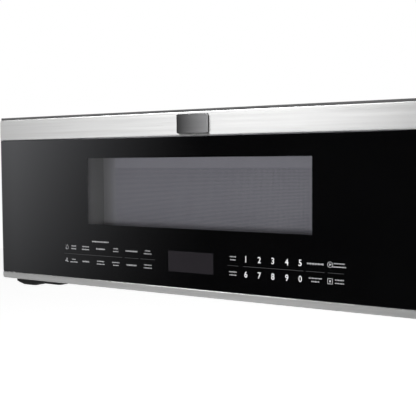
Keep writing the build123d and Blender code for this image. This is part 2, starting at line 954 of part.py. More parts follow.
def waveguide_cover():
    """Mica sheet over the wave port inside the oven."""
    return block(
        oven_width / 2 - wave_cover_thickness, oven_width / 2,
        wave_port_y - wave_port_depth / 2 - wave_cover_margin,
        wave_port_y + wave_port_depth / 2 + wave_cover_margin,
        wave_port_z - wave_port_height / 2 - wave_cover_margin,
        wave_port_z + wave_port_height / 2 + wave_cover_margin,
    )


def waveguide():
    """Closed steel duct from the magnetron to the port in the oven wall."""
    half_y = wave_port_depth / 2 + wave_cover_margin
    half_z = wave_port_height / 2 + wave_cover_margin
    x1 = oven_side + waveguide_width
    duct = block(
        oven_side, x1, wave_port_y - half_y, wave_port_y + half_y,
        wave_port_z - half_z, wave_port_z + half_z,
    )
    duct -= block(
        oven_side - 1, x1 - sheet, wave_port_y - half_y + sheet, wave_port_y + half_y - sheet,
        wave_port_z - half_z + sheet, wave_port_z + half_z - sheet,
    )
    return duct - rod_x(x1 - 2 * sheet, x1 + 1, wave_port_y, wave_port_z, antenna_radius + 1)


def magnetron():
    """Magnetron: yoke frame, cooling fins round the anode, and the antenna in the waveguide."""
    x0 = oven_side + waveguide_width
    x1 = inside_x - 2 * sheet
    y0, y1 = wave_port_y - magnetron_depth / 2, wave_port_y + magnetron_depth / 2
    z0, z1 = wave_port_z - magnetron_height / 2, wave_port_z + magnetron_height / 2
    tube = block(x0, x1, y0, y1, z0, z1)
    tube -= block(
        x0 + magnetron_yoke, x1 - magnetron_yoke, y0 - 1, y1 + 1,
        z0 + magnetron_yoke, z1 - magnetron_yoke,
    )
    tube += rod_x(x0, x1, wave_port_y, wave_port_z, anode_radius)
    pitch = (x1 - x0 - 2 * magnetron_yoke) / (magnetron_fins + 1)
    for i in range(magnetron_fins):
        x = x0 + magnetron_yoke + pitch * (i + 1)
        tube += block(
            x - fin_thickness / 2, x + fin_thickness / 2, y0 + fin_inset, y1 - fin_inset, z0, z1,
        )
    return tube + rod_x(x0 - antenna_length, x0, wave_port_y, wave_port_z, antenna_radius)


def transformer_right():
    """X of the transformer's right side, just clear of the cabinet's side."""
    return inside_x - 4 * sheet


def hv_transformer():
    """High-voltage transformer: laminated core on its foot plate, with two windings."""
    x1 = transformer_right()
    x0 = x1 - transformer_width
    y0, y1 = transformer_y - transformer_depth / 2, transformer_y + transformer_depth / 2
    z0 = inside_bottom
    z1 = z0 + transformer_height
    core_y0, core_y1 = y0 + coil_overhang, y1 - coil_overhang
    core = block(x0, x1, core_y0, core_y1, z0 + transformer_foot, z1)
    coil = block(
        x0 + coil_inset, x1 - coil_inset, y0, y1, z0 + transformer_foot + coil_inset, z1 - coil_inset,
    )
    coil = fillet(coil.edges().filter_by(Axis.Z), coil_inset - 1)
    foot = block(x0 - foot_lug, x1, core_y0, core_y1, z0, z0 + transformer_foot)
    return core + coil + foot


def hv_capacitor():
    """Oval high-voltage capacitor standing on the base in front of the transformer."""
    x = transformer_right() - transformer_width - foot_lug - capacitor_gap - capacitor_width / 2
    y = transformer_y + capacitor_set_back
    can = Pos(x, y, inside_bottom) * extrude(SlotOverall(capacitor_width, capacitor_depth), capacitor_height)
    top = inside_bottom + capacitor_height
    for side in (-1, 1):
        terminal_x = x + side * capacitor_width / 5
        can += rod_z(terminal_x, y, top, top + terminal_height, terminal_radius)
    return can


def cooling_fan_shroud():
    """Square fan plate with a round ring and a motor bracket, screwed to the oven's side."""
    xc = fan_centre_x()
    y0 = fan_y
    ring_inner = fan_blade_radius + fan_tip_gap
    ring_outer = ring_inner + fan_plate
    plate = block(
        oven_side, xc + fan_size / 2, y0, y0 + fan_plate, fan_z - fan_size / 2, fan_z + fan_size / 2,
    )
    shroud = plate + rod_y(xc, y0, y0 + fan_ring_depth, fan_z, ring_outer)
    shroud -= rod_y(xc, y0 - 1, y0 + fan_ring_depth + 1, fan_z, ring_inner)
    bar_y = y0 + fan_ring_depth - fan_plate
    bar_half = (ring_inner + ring_outer) / 2
    bar = block(
        xc - bar_half, xc + bar_half, bar_y, bar_y + fan_plate,
        fan_z - fan_bar_width / 2, fan_z + fan_bar_width / 2,
    )
    return shroud + bar - rod_y(xc, bar_y - 1, bar_y + fan_plate + 1, fan_z, fan_shaft_radius + fan_plate / 2)


def fan_centre_x():
    """X of the cooling fan's shaft."""
    return oven_side + fan_stand_off + fan_size / 2


def cooling_fan_motor():
    """Shaded-pole motor behind the cooling fan's bracket bar, bored for the shaft."""
    y0 = fan_y + fan_ring_depth
    x = fan_centre_x()
    motor = rod_y(x, y0, y0 + fan_motor_length, fan_z, fan_motor_radius)
    bore_end = y0 + fan_motor_length - fan_shaft_set + fan_plate
    return motor - rod_y(x, y0 - 1, bore_end, fan_z, fan_shaft_radius + running_gap)


def cooling_fan():
    """Five-bladed axial fan on its shaft."""
    x = fan_centre_x()
    y0 = fan_y + fan_side_gap
    y1 = fan_y + fan_ring_depth - fan_plate - fan_side_gap
    rotor = rod_y(x, y0, y1, fan_z, fan_hub_radius)
    shaft_end = fan_y + fan_ring_depth + fan_motor_length - fan_shaft_set
    rotor += rod_y(x, y0, shaft_end, fan_z, fan_shaft_radius)
    blade_root = fan_hub_radius - 3
    blade_length = fan_blade_radius - blade_root
    for i in range(fan_blades):
        blade = Box(blade_length, fan_blade_thickness, fan_blade_chord)
        blade = Pos(blade_root + blade_length / 2, 0, 0) * Rot(X=fan_blade_pitch) * blade
        blade = Pos(x, (y0 + y1) / 2, fan_z) * Rot(Y=i * 360 / fan_blades) * blade
        rotor += blade
    return rotor


# ---- Turntable ----
def turntable_motor():
    """Flat geared motor under the oven floor, bored for the drive shaft."""
    top = oven_floor - sheet
    motor = rod_z(0, turntable_y, top - turntable_motor_height, top, turntable_motor_radius)
    ear_x = turntable_motor_radius + motor_ear_length
    motor += block(
        -ear_x, ear_x, turntable_y - motor_ear_width / 2, turntable_y + motor_ear_width / 2, top - sheet, top,
    )
    bore_low = top - drive_shaft_depth - sheet
    return motor - rod_z(0, turntable_y, bore_low, top + 1, drive_shaft_radius + running_gap)


def turntable_coupler():
    """Three-lobed coupler moulded on the steel drive shaft."""
    z0 = oven_floor + coupler_lift
    z1 = tray_z
    coupler = rod_z(0, turntable_y, z0, z1, coupler_radius)
    for i in range(3):
        lobe = Pos(coupler_lobe / 2, 0, (z0 + z1) / 2) * Box(coupler_lobe, coupler_lobe_width, z1 - z0)
        coupler += Pos(0, turntable_y, 0) * Rot(Z=120 * i) * lobe
    shaft_low = oven_floor - sheet - drive_shaft_depth
    return coupler + rod_z(0, turntable_y, shaft_low, z1 - coupler_lift, drive_shaft_radius)


def glass_tray():
    """Round glass tray with a raised rim and three lugs that the coupler drives."""
    profile = Polyline(
        (0, 0), (tray_radius - tray_slope, 0), (tray_radius, tray_rim),
        (tray_radius - tray_thickness, tray_rim), (tray_radius - tray_slope - 2, tray_thickness),
        (0, tray_thickness), close=True,
    )
    tray = Pos(0, turntable_y, tray_z) * revolve(Plane.XZ * make_face(profile), Axis.Z)
    for i in range(3):
        angle = radians(60 + 120 * i)
        reach = coupler_radius + lug_radius + lug_gap
        tray += rod_z(
            reach * cos(angle), turntable_y + reach * sin(angle),
            tray_z - lug_height, tray_z + tray_thickness / 2, lug_radius,
        )
    return tray


def roller_angle(index):
    """Direction of one roller's axle round the ring, in degrees."""
    return 90 + 360 / roller_count * index


def roller_ring():
    """Ring under the tray with an axle for each roller."""
    centre = Pos(0, turntable_y, roller_z)
    ring = centre * (
        Cylinder(ring_radius + ring_band / 2, ring_height)
        - Cylinder(ring_radius - ring_band / 2, ring_height + 2)
    )
    start = ring_radius
    end = ring_radius + ring_band / 2 + seat_gap + roller_width + axle_end
    for i in range(roller_count):
        ring += centre * Rot(Z=roller_angle(i)) * rod_x(start, end, 0, 0, roller_axle_radius)
    return ring


def roller(index):
    """One roller, bored for its axle."""
    x0 = ring_radius + ring_band / 2 + seat_gap
    wheel = rod_x(x0, x0 + roller_width, 0, 0, roller_radius)
    wheel = fillet(wheel.edges(), roller_edge)
    wheel -= rod_x(x0 - 1, x0 + roller_width + 1, 0, 0, roller_axle_radius + running_gap)
    return Pos(0, turntable_y, roller_z) * Rot(Z=roller_angle(index)) * wheel


# ---- Ventilation ----
def grille_front_y():
    """Y of the grille opening's front edge in the cabinet's top."""
    return front_y + grille_front_gap


def vent_grille():
    """Slotted strip in the top, just behind the door, where the room air comes out."""
    y0 = grille_front_y() + seat_gap
    y1 = grille_front_y() + grille_depth - seat_gap
    half = grille_width / 2 - seat_gap
    edge = half + grille_lip
    grille = block(-half, half, y0, y1, inside_top - grille_thickness, top_z)
    grille += block(-edge, edge, y0, y1 + grille_lip, inside_top - grille_thickness, inside_top)
    pitch = 2 * half / grille_slots
    slots = []
    for i in range(grille_slots):
        x = -half + pitch * (i + 0.5)
        slots.append(block(
            x - pitch / 2 + grille_bar / 2, x + pitch / 2 - grille_bar / 2,
            y0 + grille_bar, y1 - grille_bar, inside_top - grille_thickness - 1, top_z + 1,
        ))
    return grille - slots


def charcoal_filter():
    """Carbon cartridge under the grille, above the oven."""
    y0 = grille_front_y() + sheet
    y1 = y0 + charcoal_depth
    z0 = oven_ceiling + sheet
    half = charcoal_width / 2
    cartridge = block(-half, half, y0, y1, z0, z0 + charcoal_height)
    pitch = (2 * half - charcoal_rim) / charcoal_slots
    cells = []
    for i in range(charcoal_slots):
        x0 = -half + charcoal_rim + pitch * i
        cells.append(block(
            x0, x0 + pitch - charcoal_rim, y0 + charcoal_rim, y1 - charcoal_rim,
            z0 + charcoal_height - charcoal_rim, z0 + charcoal_height + 1,
        ))
    return cartridge - cells


def grease_filter(side):
    """Flat aluminium filter: rim and slotted mesh, tipping down about its rounded rear edge."""
    x = side * filter_centre_x
    half_w, half_d = filter_width / 2, filter_depth / 2
    z0 = bottom_z + filter_clearance
    z1 = z0 + filter_thickness
    pad = block(
        x - half_w, x + half_w, filter_centre_y - half_d, filter_centre_y + half_d, z0, z1,
    )
    hinge_edge = edges_along(
        pad, Axis.X, lambda c: c.Y > filter_centre_y, lambda c: c.Z < z0 + filter_thickness / 2,
    )
    pad = fillet(hinge_edge, filter_edge_radius)
    inner_w = 2 * (half_w - filter_rim)
    inner_d = 2 * (half_d - filter_rim)
    for z_low, z_high in ((z0 - 1, z0 + filter_mesh_set), (z0 + filter_mesh_set + filter_mesh, z1 + 1)):
        pad -= block(
            x - inner_w / 2, x + inner_w / 2,
            filter_centre_y - inner_d / 2, filter_centre_y + inner_d / 2, z_low, z_high,
        )
    pitch_x = inner_w / filter_slot_columns
    pitch_y = inner_d / filter_slot_rows
    hole = Box(pitch_x * filter_slot_share, pitch_y * filter_slot_share, 3 * filter_thickness)
    mesh = GridLocations(pitch_x, pitch_y, filter_slot_columns, filter_slot_rows)
    centre = Pos(x, filter_centre_y, (z0 + z1) / 2)
    return pad - [centre * place * hole for place in mesh.locations]


def damper_frame():
    """Duct neck under the top, with the seat that the damper flap closes on."""
    half_w, half_d = duct_width / 2, duct_depth / 2
    top = top_z
    low = inside_top - duct_neck
    neck = block(-half_w, half_w, bay_y - half_d, bay_y + half_d, low, top)
    neck += block(
        -half_w - duct_flange, half_w + duct_flange,
        bay_y - half_d - duct_flange / 2, bay_y + half_d + duct_flange / 2,
        inside_top - duct_wall, inside_top,
    )
    neck -= block(
        -half_w + duct_wall, half_w - duct_wall,
        bay_y - half_d + duct_wall, bay_y + half_d - duct_wall, low - 1, top + 1,
    )
    stop_z = flap_z() - flap_thickness / 2 - seat_gap
    neck += block(
        -half_w + duct_wall, half_w - duct_wall,
        bay_y - half_d + duct_wall, bay_y - half_d + duct_wall + flap_seat, stop_z - duct_wall, stop_z,
    )
    pin_y, pin_z = flap_pivot()
    return neck - rod_x(-half_w - 1, half_w + 1, pin_y, pin_z, flap_pin_radius + running_gap)


def flap_z():
    """Height of the damper flap's mid-plane when shut."""
    return inside_top - duct_neck / 2


def flap_pivot():
    """Y and Z of the damper flap's pivot, near its rear edge."""
    return bay_y + duct_depth / 2 - duct_wall - flap_pin_inset, flap_z()


def damper_flap():
    """Light flap on its pivot pin that opens when the blower runs."""
    pin_y, pin_z = flap_pivot()
    half_w = duct_width / 2 - duct_wall - flap_clearance
    y0 = bay_y - duct_depth / 2 + duct_wall + flap_clearance
    flap = block(-half_w, half_w, y0, pin_y, pin_z - flap_thickness / 2, pin_z + flap_thickness / 2)
    pin_half = duct_width / 2 - seat_gap
    return flap + rod_x(-pin_half, pin_half, pin_y, pin_z, flap_pin_radius)


def blower_centre_z():
    """Height of the blower's shaft."""
    return inside_top - duct_neck - 2 * blower_radius() - blower_throat


def blower_radius():
    """Outer radius of the blower housing round its wheels."""
    return blower_wheel_radius + blower_wheel_clearance + blower_wall


def blower_half_width():
    """Half the width of the blower housing."""
    return blower_motor_length / 2 + blower_hub_gap + blower_wheel_width + 2 * blower_hub_gap


def blower_shell(radius, half_width_x, z_top):
    """A round-bottomed box along X: half a cylinder carried up to a flat top."""
    z = blower_centre_z()
    shell = rod_x(-half_width_x, half_width_x, bay_y, z, radius)
    return shell + block(-half_width_x, half_width_x, bay_y - radius, bay_y + radius, z, z_top)


def blower_housing():
    """Scroll housing for both wheels, open at the top to the duct neck and bored for the air."""
    half = blower_half_width()
    top = inside_top - duct_neck
    z = blower_centre_z()
    shell = blower_shell(blower_radius(), half, top)
    shell -= blower_shell(blower_radius() - blower_wall, half - blower_wall, top + 1)
    shell -= rod_x(-half - 1, half + 1, bay_y, z, blower_inlet_radius)
    foot_y0 = bay_y + blower_radius() - blower_wall
    for side in (-1, 1):
        x = side * half * 0.6
        shell += block(
            x - blower_foot_width / 2, x + blower_foot_width / 2, foot_y0, inside_back,
            z, z + blower_foot_height,
        )
    cradle_z0 = z - blower_radius() + blower_wall / 2
    for side in (-1, 1):
        x = side * blower_motor_length * 0.3
        post = block(
            x - cradle_width / 2, x + cradle_width / 2,
            bay_y - cradle_depth / 2, bay_y + cradle_depth / 2, cradle_z0, z,
        )
        shell += post - rod_x(x - cradle_width, x + cradle_width, bay_y, z, blower_motor_radius)
    return shell


def blower_motor():
    """Double-shaft motor in the cradle between the two wheels, bored for the shaft."""
    half = blower_motor_length / 2
    z = blower_centre_z()
    motor = rod_x(-half, half, bay_y, z, blower_motor_radius)
    motor = fillet(motor.edges(), blower_motor_round)
    return motor - rod_x(-half - 1, half + 1, bay_y, z, blower_shaft_radius + running_gap)


def blower_wheels():
    """Two forward-curved wheels on one shaft through the motor."""
    z = blower_centre_z()
    inner = blower_motor_length / 2 + blower_hub_gap
    end = inner + blower_wheel_width
    rotor = rod_x(-end, end, bay_y, z, blower_shaft_radius)
    for side in (-1, 1):
        x0, x1 = sorted((side * inner, side * end))
        disc0 = x0 if side > 0 else x1 - wheel_disc
        rim0 = x1 - wheel_rim if side > 0 else x0
        rotor += rod_x(disc0, disc0 + wheel_disc, bay_y, z, blower_wheel_radius)
        rim = rod_x(rim0, rim0 + wheel_rim, bay_y, z, blower_wheel_radius)
        rim_bore = blower_wheel_radius - blower_blade_chord
        rotor += rim - rod_x(rim0 - 1, rim0 + wheel_rim + 1, bay_y, z, rim_bore)
        blade = Box(x1 - x0, blower_blade_chord - 1, blower_blade_thickness)
        blade = Pos(0, blower_wheel_radius - blower_blade_chord / 2, 0) * Rot(X=blower_blade_tilt) * blade
        wheel_middle = Pos((x0 + x1) / 2, bay_y, z)
        turn = 360 / blower_blades
        rotor += [wheel_middle * Rot(X=i * turn) * blade for i in range(blower_blades)]
    return rotor


# ---- Lamps and boards ----
def hood_lamps():
    """Two cooktop lamp modules on the base, each over its lens."""
    lamps = []
    for side in (-1, 1):
        x = side * hood_lamp_spacing / 2
        z0 = bottom_z + sheet
        half_w, half_d = lens_width / 2 + lens_lip, lens_depth / 2 + lens_lip
        z1 = z0 + lamp_module_height
        lamp = block(x - half_w, x + half_w, hood_lamp_y - half_d, hood_lamp_y + half_d, z0, z1)
        lamp -= block(
            x - half_w + lens_lip, x + half_w - lens_lip, hood_lamp_y - half_d + lens_lip,
            hood_lamp_y + half_d - lens_lip, z0 - 1, z1 - 2 * sheet,
        )
        lamps.append(lamp)
    return lamps


def hood_lamp_lenses():
    """Two clear lenses set flush in the base."""
    lenses = []
    for side in (-1, 1):
        x = side * hood_lamp_spacing / 2
        half_w, half_d = lens_width / 2 - seat_gap, lens_depth / 2 - seat_gap
        lenses.append(block(
            x - half_w, x + half_w, hood_lamp_y - half_d, hood_lamp_y + half_d,
            bottom_z, bottom_z + lens_thickness,
        ))
    return lenses


def oven_lamp():
    """Oven lamp and its holder on the outside of the oven's left wall."""
    x1 = -oven_side
    half = lamp_plate_size / 2
    lamp = block(
        x1 - 2 * sheet, x1, oven_lamp_y - half, oven_lamp_y + half, oven_lamp_z - half, oven_lamp_z + half,
    )
    bulb_x = x1 - oven_lamp_length
    lamp += rod_x(bulb_x, x1 - sheet, oven_lamp_y, oven_lamp_z, oven_lamp_radius)
    return lamp + rod_x(bulb_x - lamp_holder, bulb_x, oven_lamp_y, oven_lamp_z, lamp_holder)


def power_board():
    """Relay and supply board on stand-offs beside the oven."""
    x1 = -oven_side
    x0 = x1 - board_stand_off
    y0, y1 = power_board_y - power_board_depth / 2, power_board_y + power_board_depth / 2
    z0, z1 = power_board_z - power_board_height / 2, power_board_z + power_board_height / 2
    board = block(x0 - board_thickness, x0, y0, y1, z0, z1)
    for y in (y0 + board_edge, y1 - board_edge):
        for z in (z0 + board_edge, z1 - board_edge):
            board += rod_x(x0, x1, y, z, board_post_radius)
    left = x0 - board_thickness
    relay_top = z1 - 2 * board_edge
    for i in range(relay_count):
        y = y0 + 2 * board_edge + relay_pitch * i
        board += block(left - relay_height, left, y, y + relay_length, relay_top - relay_width, relay_top)
    low_z = z0 + 2 * board_edge
    board += rod_x(left - buffer_height, left, y0 + 4 * board_edge, low_z + buffer_radius, buffer_radius)
    supply_y = y0 + board_supply_place
    return board + block(
        left - board_supply_height, left, supply_y, supply_y + board_supply_length,
        low_z, low_z + board_supply_width,
    )


def back_screws():
    """Four screws that hold the back panel to the cabinet's wrap flange and base."""
    screws = []
    corner_x = inside_x - back_screw_inset
    for x in (-corner_x, corner_x):
        for z in (bottom_z + back_screw_inset, inside_top - back_screw_inset):
            screws.append(rod_y(x, back_y, back_y + back_screw_head, z, back_screw_radius))
    return screws


save("base_pan", base_pan())
save("outer_wrap", outer_wrap())
save("back_panel", back_panel())
save("wall_plate", wall_plate())
save("front_frame", front_frame())
save("cabinet_nuts", *cabinet_nuts())
save("cord_bushing", cord_bushing())
save("back_screws", *back_screws())

save("door_top_band", door_top_band())
save("door_bottom_trim", door_bottom_trim())
save("badge_plate", badge_plate())
save("door_glass", door_glass())
save("door_frame", door_frame())
save("door_rear_cover", door_rear_cover())
save("choke_pan", choke_pan())
save("window_screen", window_screen())
save("inner_pane", inner_pane())
save("touch_board", touch_board())
save("display_module", display_module())
save("hinge_bushes", *hinge_bushes())

save("lower_hinge_bracket", lower_hinge_bracket())
save("upper_hinge_bracket", upper_hinge_bracket())
save("hinge_pins", *hinge_pins())
save("hinge_screws", *hinge_screws())

save("latch_lever", latch_lever())
save("latch_spring", latch_spring())
save("latch_board", latch_board())
save("door_switches", *door_switches())
save("switch_plunger_lower", switch_plunger(latch_arm_heights[0]))
save("switch_plunger_upper", switch_plunger(latch_arm_heights[1]))

save("oven_cavity", oven_cavity())
save("waveguide_cover", waveguide_cover())
save("waveguide", waveguide())
save("magnetron", magnetron())
save("hv_transformer", hv_transformer())
save("hv_capacitor", hv_capacitor())
save("cooling_fan_shroud", cooling_fan_shroud())
save("cooling_fan_motor", cooling_fan_motor())
save("cooling_fan", cooling_fan())

save("turntable_motor", turntable_motor())
save("turntable_coupler", turntable_coupler())
save("glass_tray", glass_tray())
save("roller_ring", roller_ring())
for number in range(roller_count):
    save(f"roller_{number + 1}", roller(number))

save("vent_grille", vent_grille())
save("charcoal_filter", charcoal_filter())
save("grease_filter_left", grease_filter(-1))
save("grease_filter_right", grease_filter(1))
save("damper_frame", damper_frame())
save("damper_flap", damper_flap())
save("blower_housing", blower_housing())
save("blower_motor", blower_motor())
save("blower_wheels", blower_wheels())

save("hood_lamps", *hood_lamps())
save("hood_lamp_lenses", *hood_lamp_lenses())
save("oven_lamp", oven_lamp())
save("power_board", power_board())
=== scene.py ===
from math import cos, pi, radians, sin
import bpy
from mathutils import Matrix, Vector
import numpy as np


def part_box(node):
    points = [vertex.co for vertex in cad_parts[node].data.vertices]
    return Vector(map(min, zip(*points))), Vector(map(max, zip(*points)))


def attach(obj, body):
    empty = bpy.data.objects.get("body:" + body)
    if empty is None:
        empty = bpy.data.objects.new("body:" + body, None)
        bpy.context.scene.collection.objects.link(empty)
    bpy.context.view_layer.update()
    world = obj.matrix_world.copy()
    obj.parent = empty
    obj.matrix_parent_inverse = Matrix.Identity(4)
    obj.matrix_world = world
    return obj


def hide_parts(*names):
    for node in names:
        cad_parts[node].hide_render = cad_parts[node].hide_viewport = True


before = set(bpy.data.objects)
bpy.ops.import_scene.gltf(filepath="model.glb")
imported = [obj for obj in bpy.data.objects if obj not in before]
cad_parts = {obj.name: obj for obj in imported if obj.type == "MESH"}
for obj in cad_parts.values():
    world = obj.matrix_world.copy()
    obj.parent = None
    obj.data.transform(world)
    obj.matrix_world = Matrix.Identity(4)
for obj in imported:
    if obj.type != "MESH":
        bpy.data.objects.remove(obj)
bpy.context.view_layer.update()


# ---- Wall plate, back panel and their screws ----
# Zinc-coated sheet: the plate screws to the wall studs and the back panel hangs on its hooks.
# The spangle of the zinc shows as faint angular patches, each a little lighter or duller.
def node(tree, kind, inputs=None, **settings):
    """Adds a shader node: settings are its own options, inputs are its sockets' values or links."""
    made = tree.nodes.new(kind)
    for key, value in settings.items():
        setattr(made, key, value)
    for key, value in (inputs or {}).items():
        if isinstance(value, bpy.types.NodeSocket):
            tree.links.new(value, made.inputs[key])
        else:
            made.inputs[key].default_value = value
    return made


def math(tree, operation, first, second=0.0):
    """One number worked out from two: the named operation's result."""
    return node(tree, "ShaderNodeMath", {0: first, 1: second}, operation=operation).outputs[0]


def remap(tree, value, low, high, to_low, to_high):
    """A number moved from one range to another and held inside it."""
    return node(tree, "ShaderNodeMapRange", {
        "Value": value, "From Min": low, "From Max": high, "To Min": to_low, "To Max": to_high,
    }).outputs["Result"]


def mixed(tree, amount, first, second):
    """The first colour turning into the second as the amount goes from 0 to 1."""
    mix = tree.nodes.new("ShaderNodeMix")
    mix.data_type = "RGBA"
    for socket, value in ((mix.inputs[0], amount), (mix.inputs[6], first), (mix.inputs[7], second)):
        if isinstance(value, bpy.types.NodeSocket):
            tree.links.new(value, socket)
        elif isinstance(value, tuple):
            socket.default_value = (*value, 1.0)
        else:
            socket.default_value = value
    return mix.outputs[2]


def pattern(name, inputs, outputs):
    """A new node group with named numbers in and out: the group, its inputs, its end, the place."""
    group = bpy.data.node_groups.new(name, "ShaderNodeTree")
    for label, value in inputs.items():
        group.interface.new_socket(label, in_out="INPUT", socket_type="NodeSocketFloat").default_value = value
    for label in outputs:
        group.interface.new_socket(label, in_out="OUTPUT", socket_type="NodeSocketFloat")
    given = node(group, "NodeGroupInput").outputs
    end = node(group, "NodeGroupOutput")
    return group, given, end, node(group, "ShaderNodeTexCoord").outputs["Object"]


def close_pattern(group, end, results):
    """Links a group's results to its outputs."""
    for label, value in results.items():
        group.links.new(value, end.inputs[label])
    return group


SURFACE = ("Tone", "Roughness", "Height")    # what a finish reads from its pattern


def noise(group, place, scale, detail):
    """Soft noise from 0 to 1, finer as its scale goes up."""
    return node(group, "ShaderNodeTexNoise", {
        "Vector": place, "Scale": scale, "Detail": detail}).outputs["Fac"]


def roughness(group, given, value, low=0.0, high=1.0):
    """The roughness between a group's own two ends, as a value goes from low to high."""
    return remap(group, value, low, high, given["Rough Low"], given["Rough High"])


def zinc_pattern():
    """Spangled zinc: angular cells give the tone, fine noise the height, both the roughness."""
    group, given, end, place = pattern(
        "zinc_spangle", {"Cell": 110.0, "Rough Low": 0.32, "Rough High": 0.5}, SURFACE)
    cells = node(group, "ShaderNodeTexVoronoi", {"Vector": place, "Scale": given["Cell"]})
    shade = node(group, "ShaderNodeSeparateColor", {0: cells.outputs["Color"]}).outputs[0]
    fine = noise(group, place, 600.0, 2.0)
    tone = math(group, "ADD", math(group, "MULTIPLY", shade, 0.6), math(group, "MULTIPLY", fine, 0.4))
    rough = roughness(group, given, tone, 0.2, 0.8)
    return close_pattern(group, end, {"Tone": tone, "Roughness": rough, "Height": fine})


def grain_pattern():
    """Even grain: broad noise gives the tone and roughness, fine noise the height."""
    group, given, end, place = pattern(
        "fine_grain", {"Scale": 400.0, "Rough Low": 0.4, "Rough High": 0.5}, SURFACE)
    fine = noise(group, place, given["Scale"], 2.0)
    tone = remap(group, noise(group, place, 11.0, 3.0), 0.3, 0.7, 0.0, 1.0)
    rough = roughness(group, given, tone)
    return close_pattern(group, end, {"Tone": tone, "Roughness": rough, "Height": fine})


def finish(name, dark, pale, group, settings, relief, distance=0.00004, **surface):
    """A material from one pattern: its tone runs the colour from dark to pale, its roughness and
    height drive the surface, and even values are set on the shader's own sockets."""
    material = bpy.data.materials.new(name)
    material.use_nodes = True
    tree = material.node_tree
    shader = tree.nodes["Principled BSDF"]
    for key, value in surface.items():
        shader.inputs[key.replace("_", " ")].default_value = value
    made = node(tree, "ShaderNodeGroup", node_tree=group)
    made.name = "pattern"
    for key, value in settings.items():
        made.inputs[key].default_value = value
    tree.links.new(mixed(tree, made.outputs["Tone"], dark, pale), shader.inputs["Base Color"])
    tree.links.new(made.outputs["Roughness"], shader.inputs["Roughness"])
    bump = node(tree, "ShaderNodeBump", {
        "Height": made.outputs["Height"], "Strength": relief, "Distance": distance})
    tree.links.new(bump.outputs["Normal"], shader.inputs["Normal"])
    return material


def dress(material, *names):
    """Gives carried-over pieces their material."""
    for name in names:
        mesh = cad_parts[name].data
        mesh.materials.clear()
        mesh.materials.append(material)


ZINC = zinc_pattern()
GRAIN = grain_pattern()
zinc_steel = finish(
    "zinc_steel", (0.36, 0.37, 0.38), (0.60, 0.61, 0.62), ZINC,
    {"Cell": 110.0, "Rough Low": 0.32, "Rough High": 0.52}, 0.12, Metallic=0.9)
bright_zinc = finish(
    "bright_zinc", (0.55, 0.55, 0.53), (0.72, 0.72, 0.70), GRAIN,
    {"Scale": 900.0, "Rough Low": 0.22, "Rough High": 0.34}, 0.1, Metallic=1.0)
dress(zinc_steel, "wall_plate", "back_panel")
dress(bright_zinc, "back_screws")


# ---- Outer wrap, base pan and face frame ----
# Steel sheet folded into a box open at the front, powder-coated satin black inside and out.
# The clinch nuts in its top are bright zinc and the cord's grommet is soft black rubber.
black_powder = finish(
    "black_powder", (0.0105, 0.0105, 0.0112), (0.0165, 0.0165, 0.0172), GRAIN,
    {"Scale": 1100.0, "Rough Low": 0.34, "Rough High": 0.46}, 0.5, 0.00006)
black_rubber = finish(
    "black_rubber", (0.012, 0.012, 0.012), (0.021, 0.021, 0.021), GRAIN,
    {"Scale": 700.0, "Rough Low": 0.6, "Rough High": 0.75}, 0.25)
dress(black_powder, "outer_wrap", "base_pan", "front_frame")
dress(bright_zinc, "cabinet_nuts")
dress(black_rubber, "cord_bushing")


# ---- Oven cavity, wave port cover and lamp ----
# A welded steel box in speckled grey enamel, with a square patch of small lamp holes in its left
# wall, painted as near-black dots: painted shade in the holes. A mica sheet covers the wave port
# on the right.
LAMP_Y, LAMP_Z = -0.330, 0.062
LAMP_HOLES = 0.012       # half the side of the patch of holes over the oven lamp
HOLE_PITCH = 0.0032
OVEN_LEFT = -0.2640      # the lamp's holes lie in the wall left of this


def speck_pattern():
    """Speckled enamel: small round specks on an even ground, with a smooth slow roughness."""
    group, given, end, place = pattern(
        "enamel_specks", {"Scale": 420.0, "Rough Low": 0.25, "Rough High": 0.36}, SURFACE)
    dots = node(group, "ShaderNodeTexVoronoi", {
        "Vector": place, "Scale": given["Scale"]}).outputs["Distance"]
    tone = remap(group, dots, 0.16, 0.26, 0.0, 1.0)
    broad = noise(group, place, 14.0, 2.0)
    rough = roughness(group, given, broad, 0.3, 0.7)
    return close_pattern(group, end, {"Tone": tone, "Roughness": rough, "Height": broad})


def hole_pattern():
    """Round holes in a square grid on an upright wall: 1 in a hole. Across X and Across Y give the
    wall's own direction as shares of X and Y, and Pitch is the grid's spacing."""
    group, given, end, place = pattern(
        "round_holes", {"Pitch": 0.002, "Share": 0.3, "Across X": 1.0, "Across Y": 0.0}, ("Hole",))
    parts = node(group, "ShaderNodeSeparateXYZ", {0: place}).outputs
    across = math(group, "ADD", math(group, "MULTIPLY", parts["X"], given["Across X"]),
                  math(group, "MULTIPLY", parts["Y"], given["Across Y"]))
    spot = node(group, "ShaderNodeCombineXYZ", {
        "X": math(group, "DIVIDE", across, given["Pitch"]),
        "Y": math(group, "DIVIDE", parts["Z"], given["Pitch"])}).outputs[0]
    grid = node(group, "ShaderNodeTexVoronoi", {
        "Vector": spot, "Scale": 1.0, "Randomness": 0.0}, voronoi_dimensions="2D")
    inside = math(group, "SUBTRACT", given["Share"], grid.outputs["Distance"])
    return close_pattern(group, end, {"Hole": remap(group, inside, -0.06, 0.06, 0.0, 1.0)})


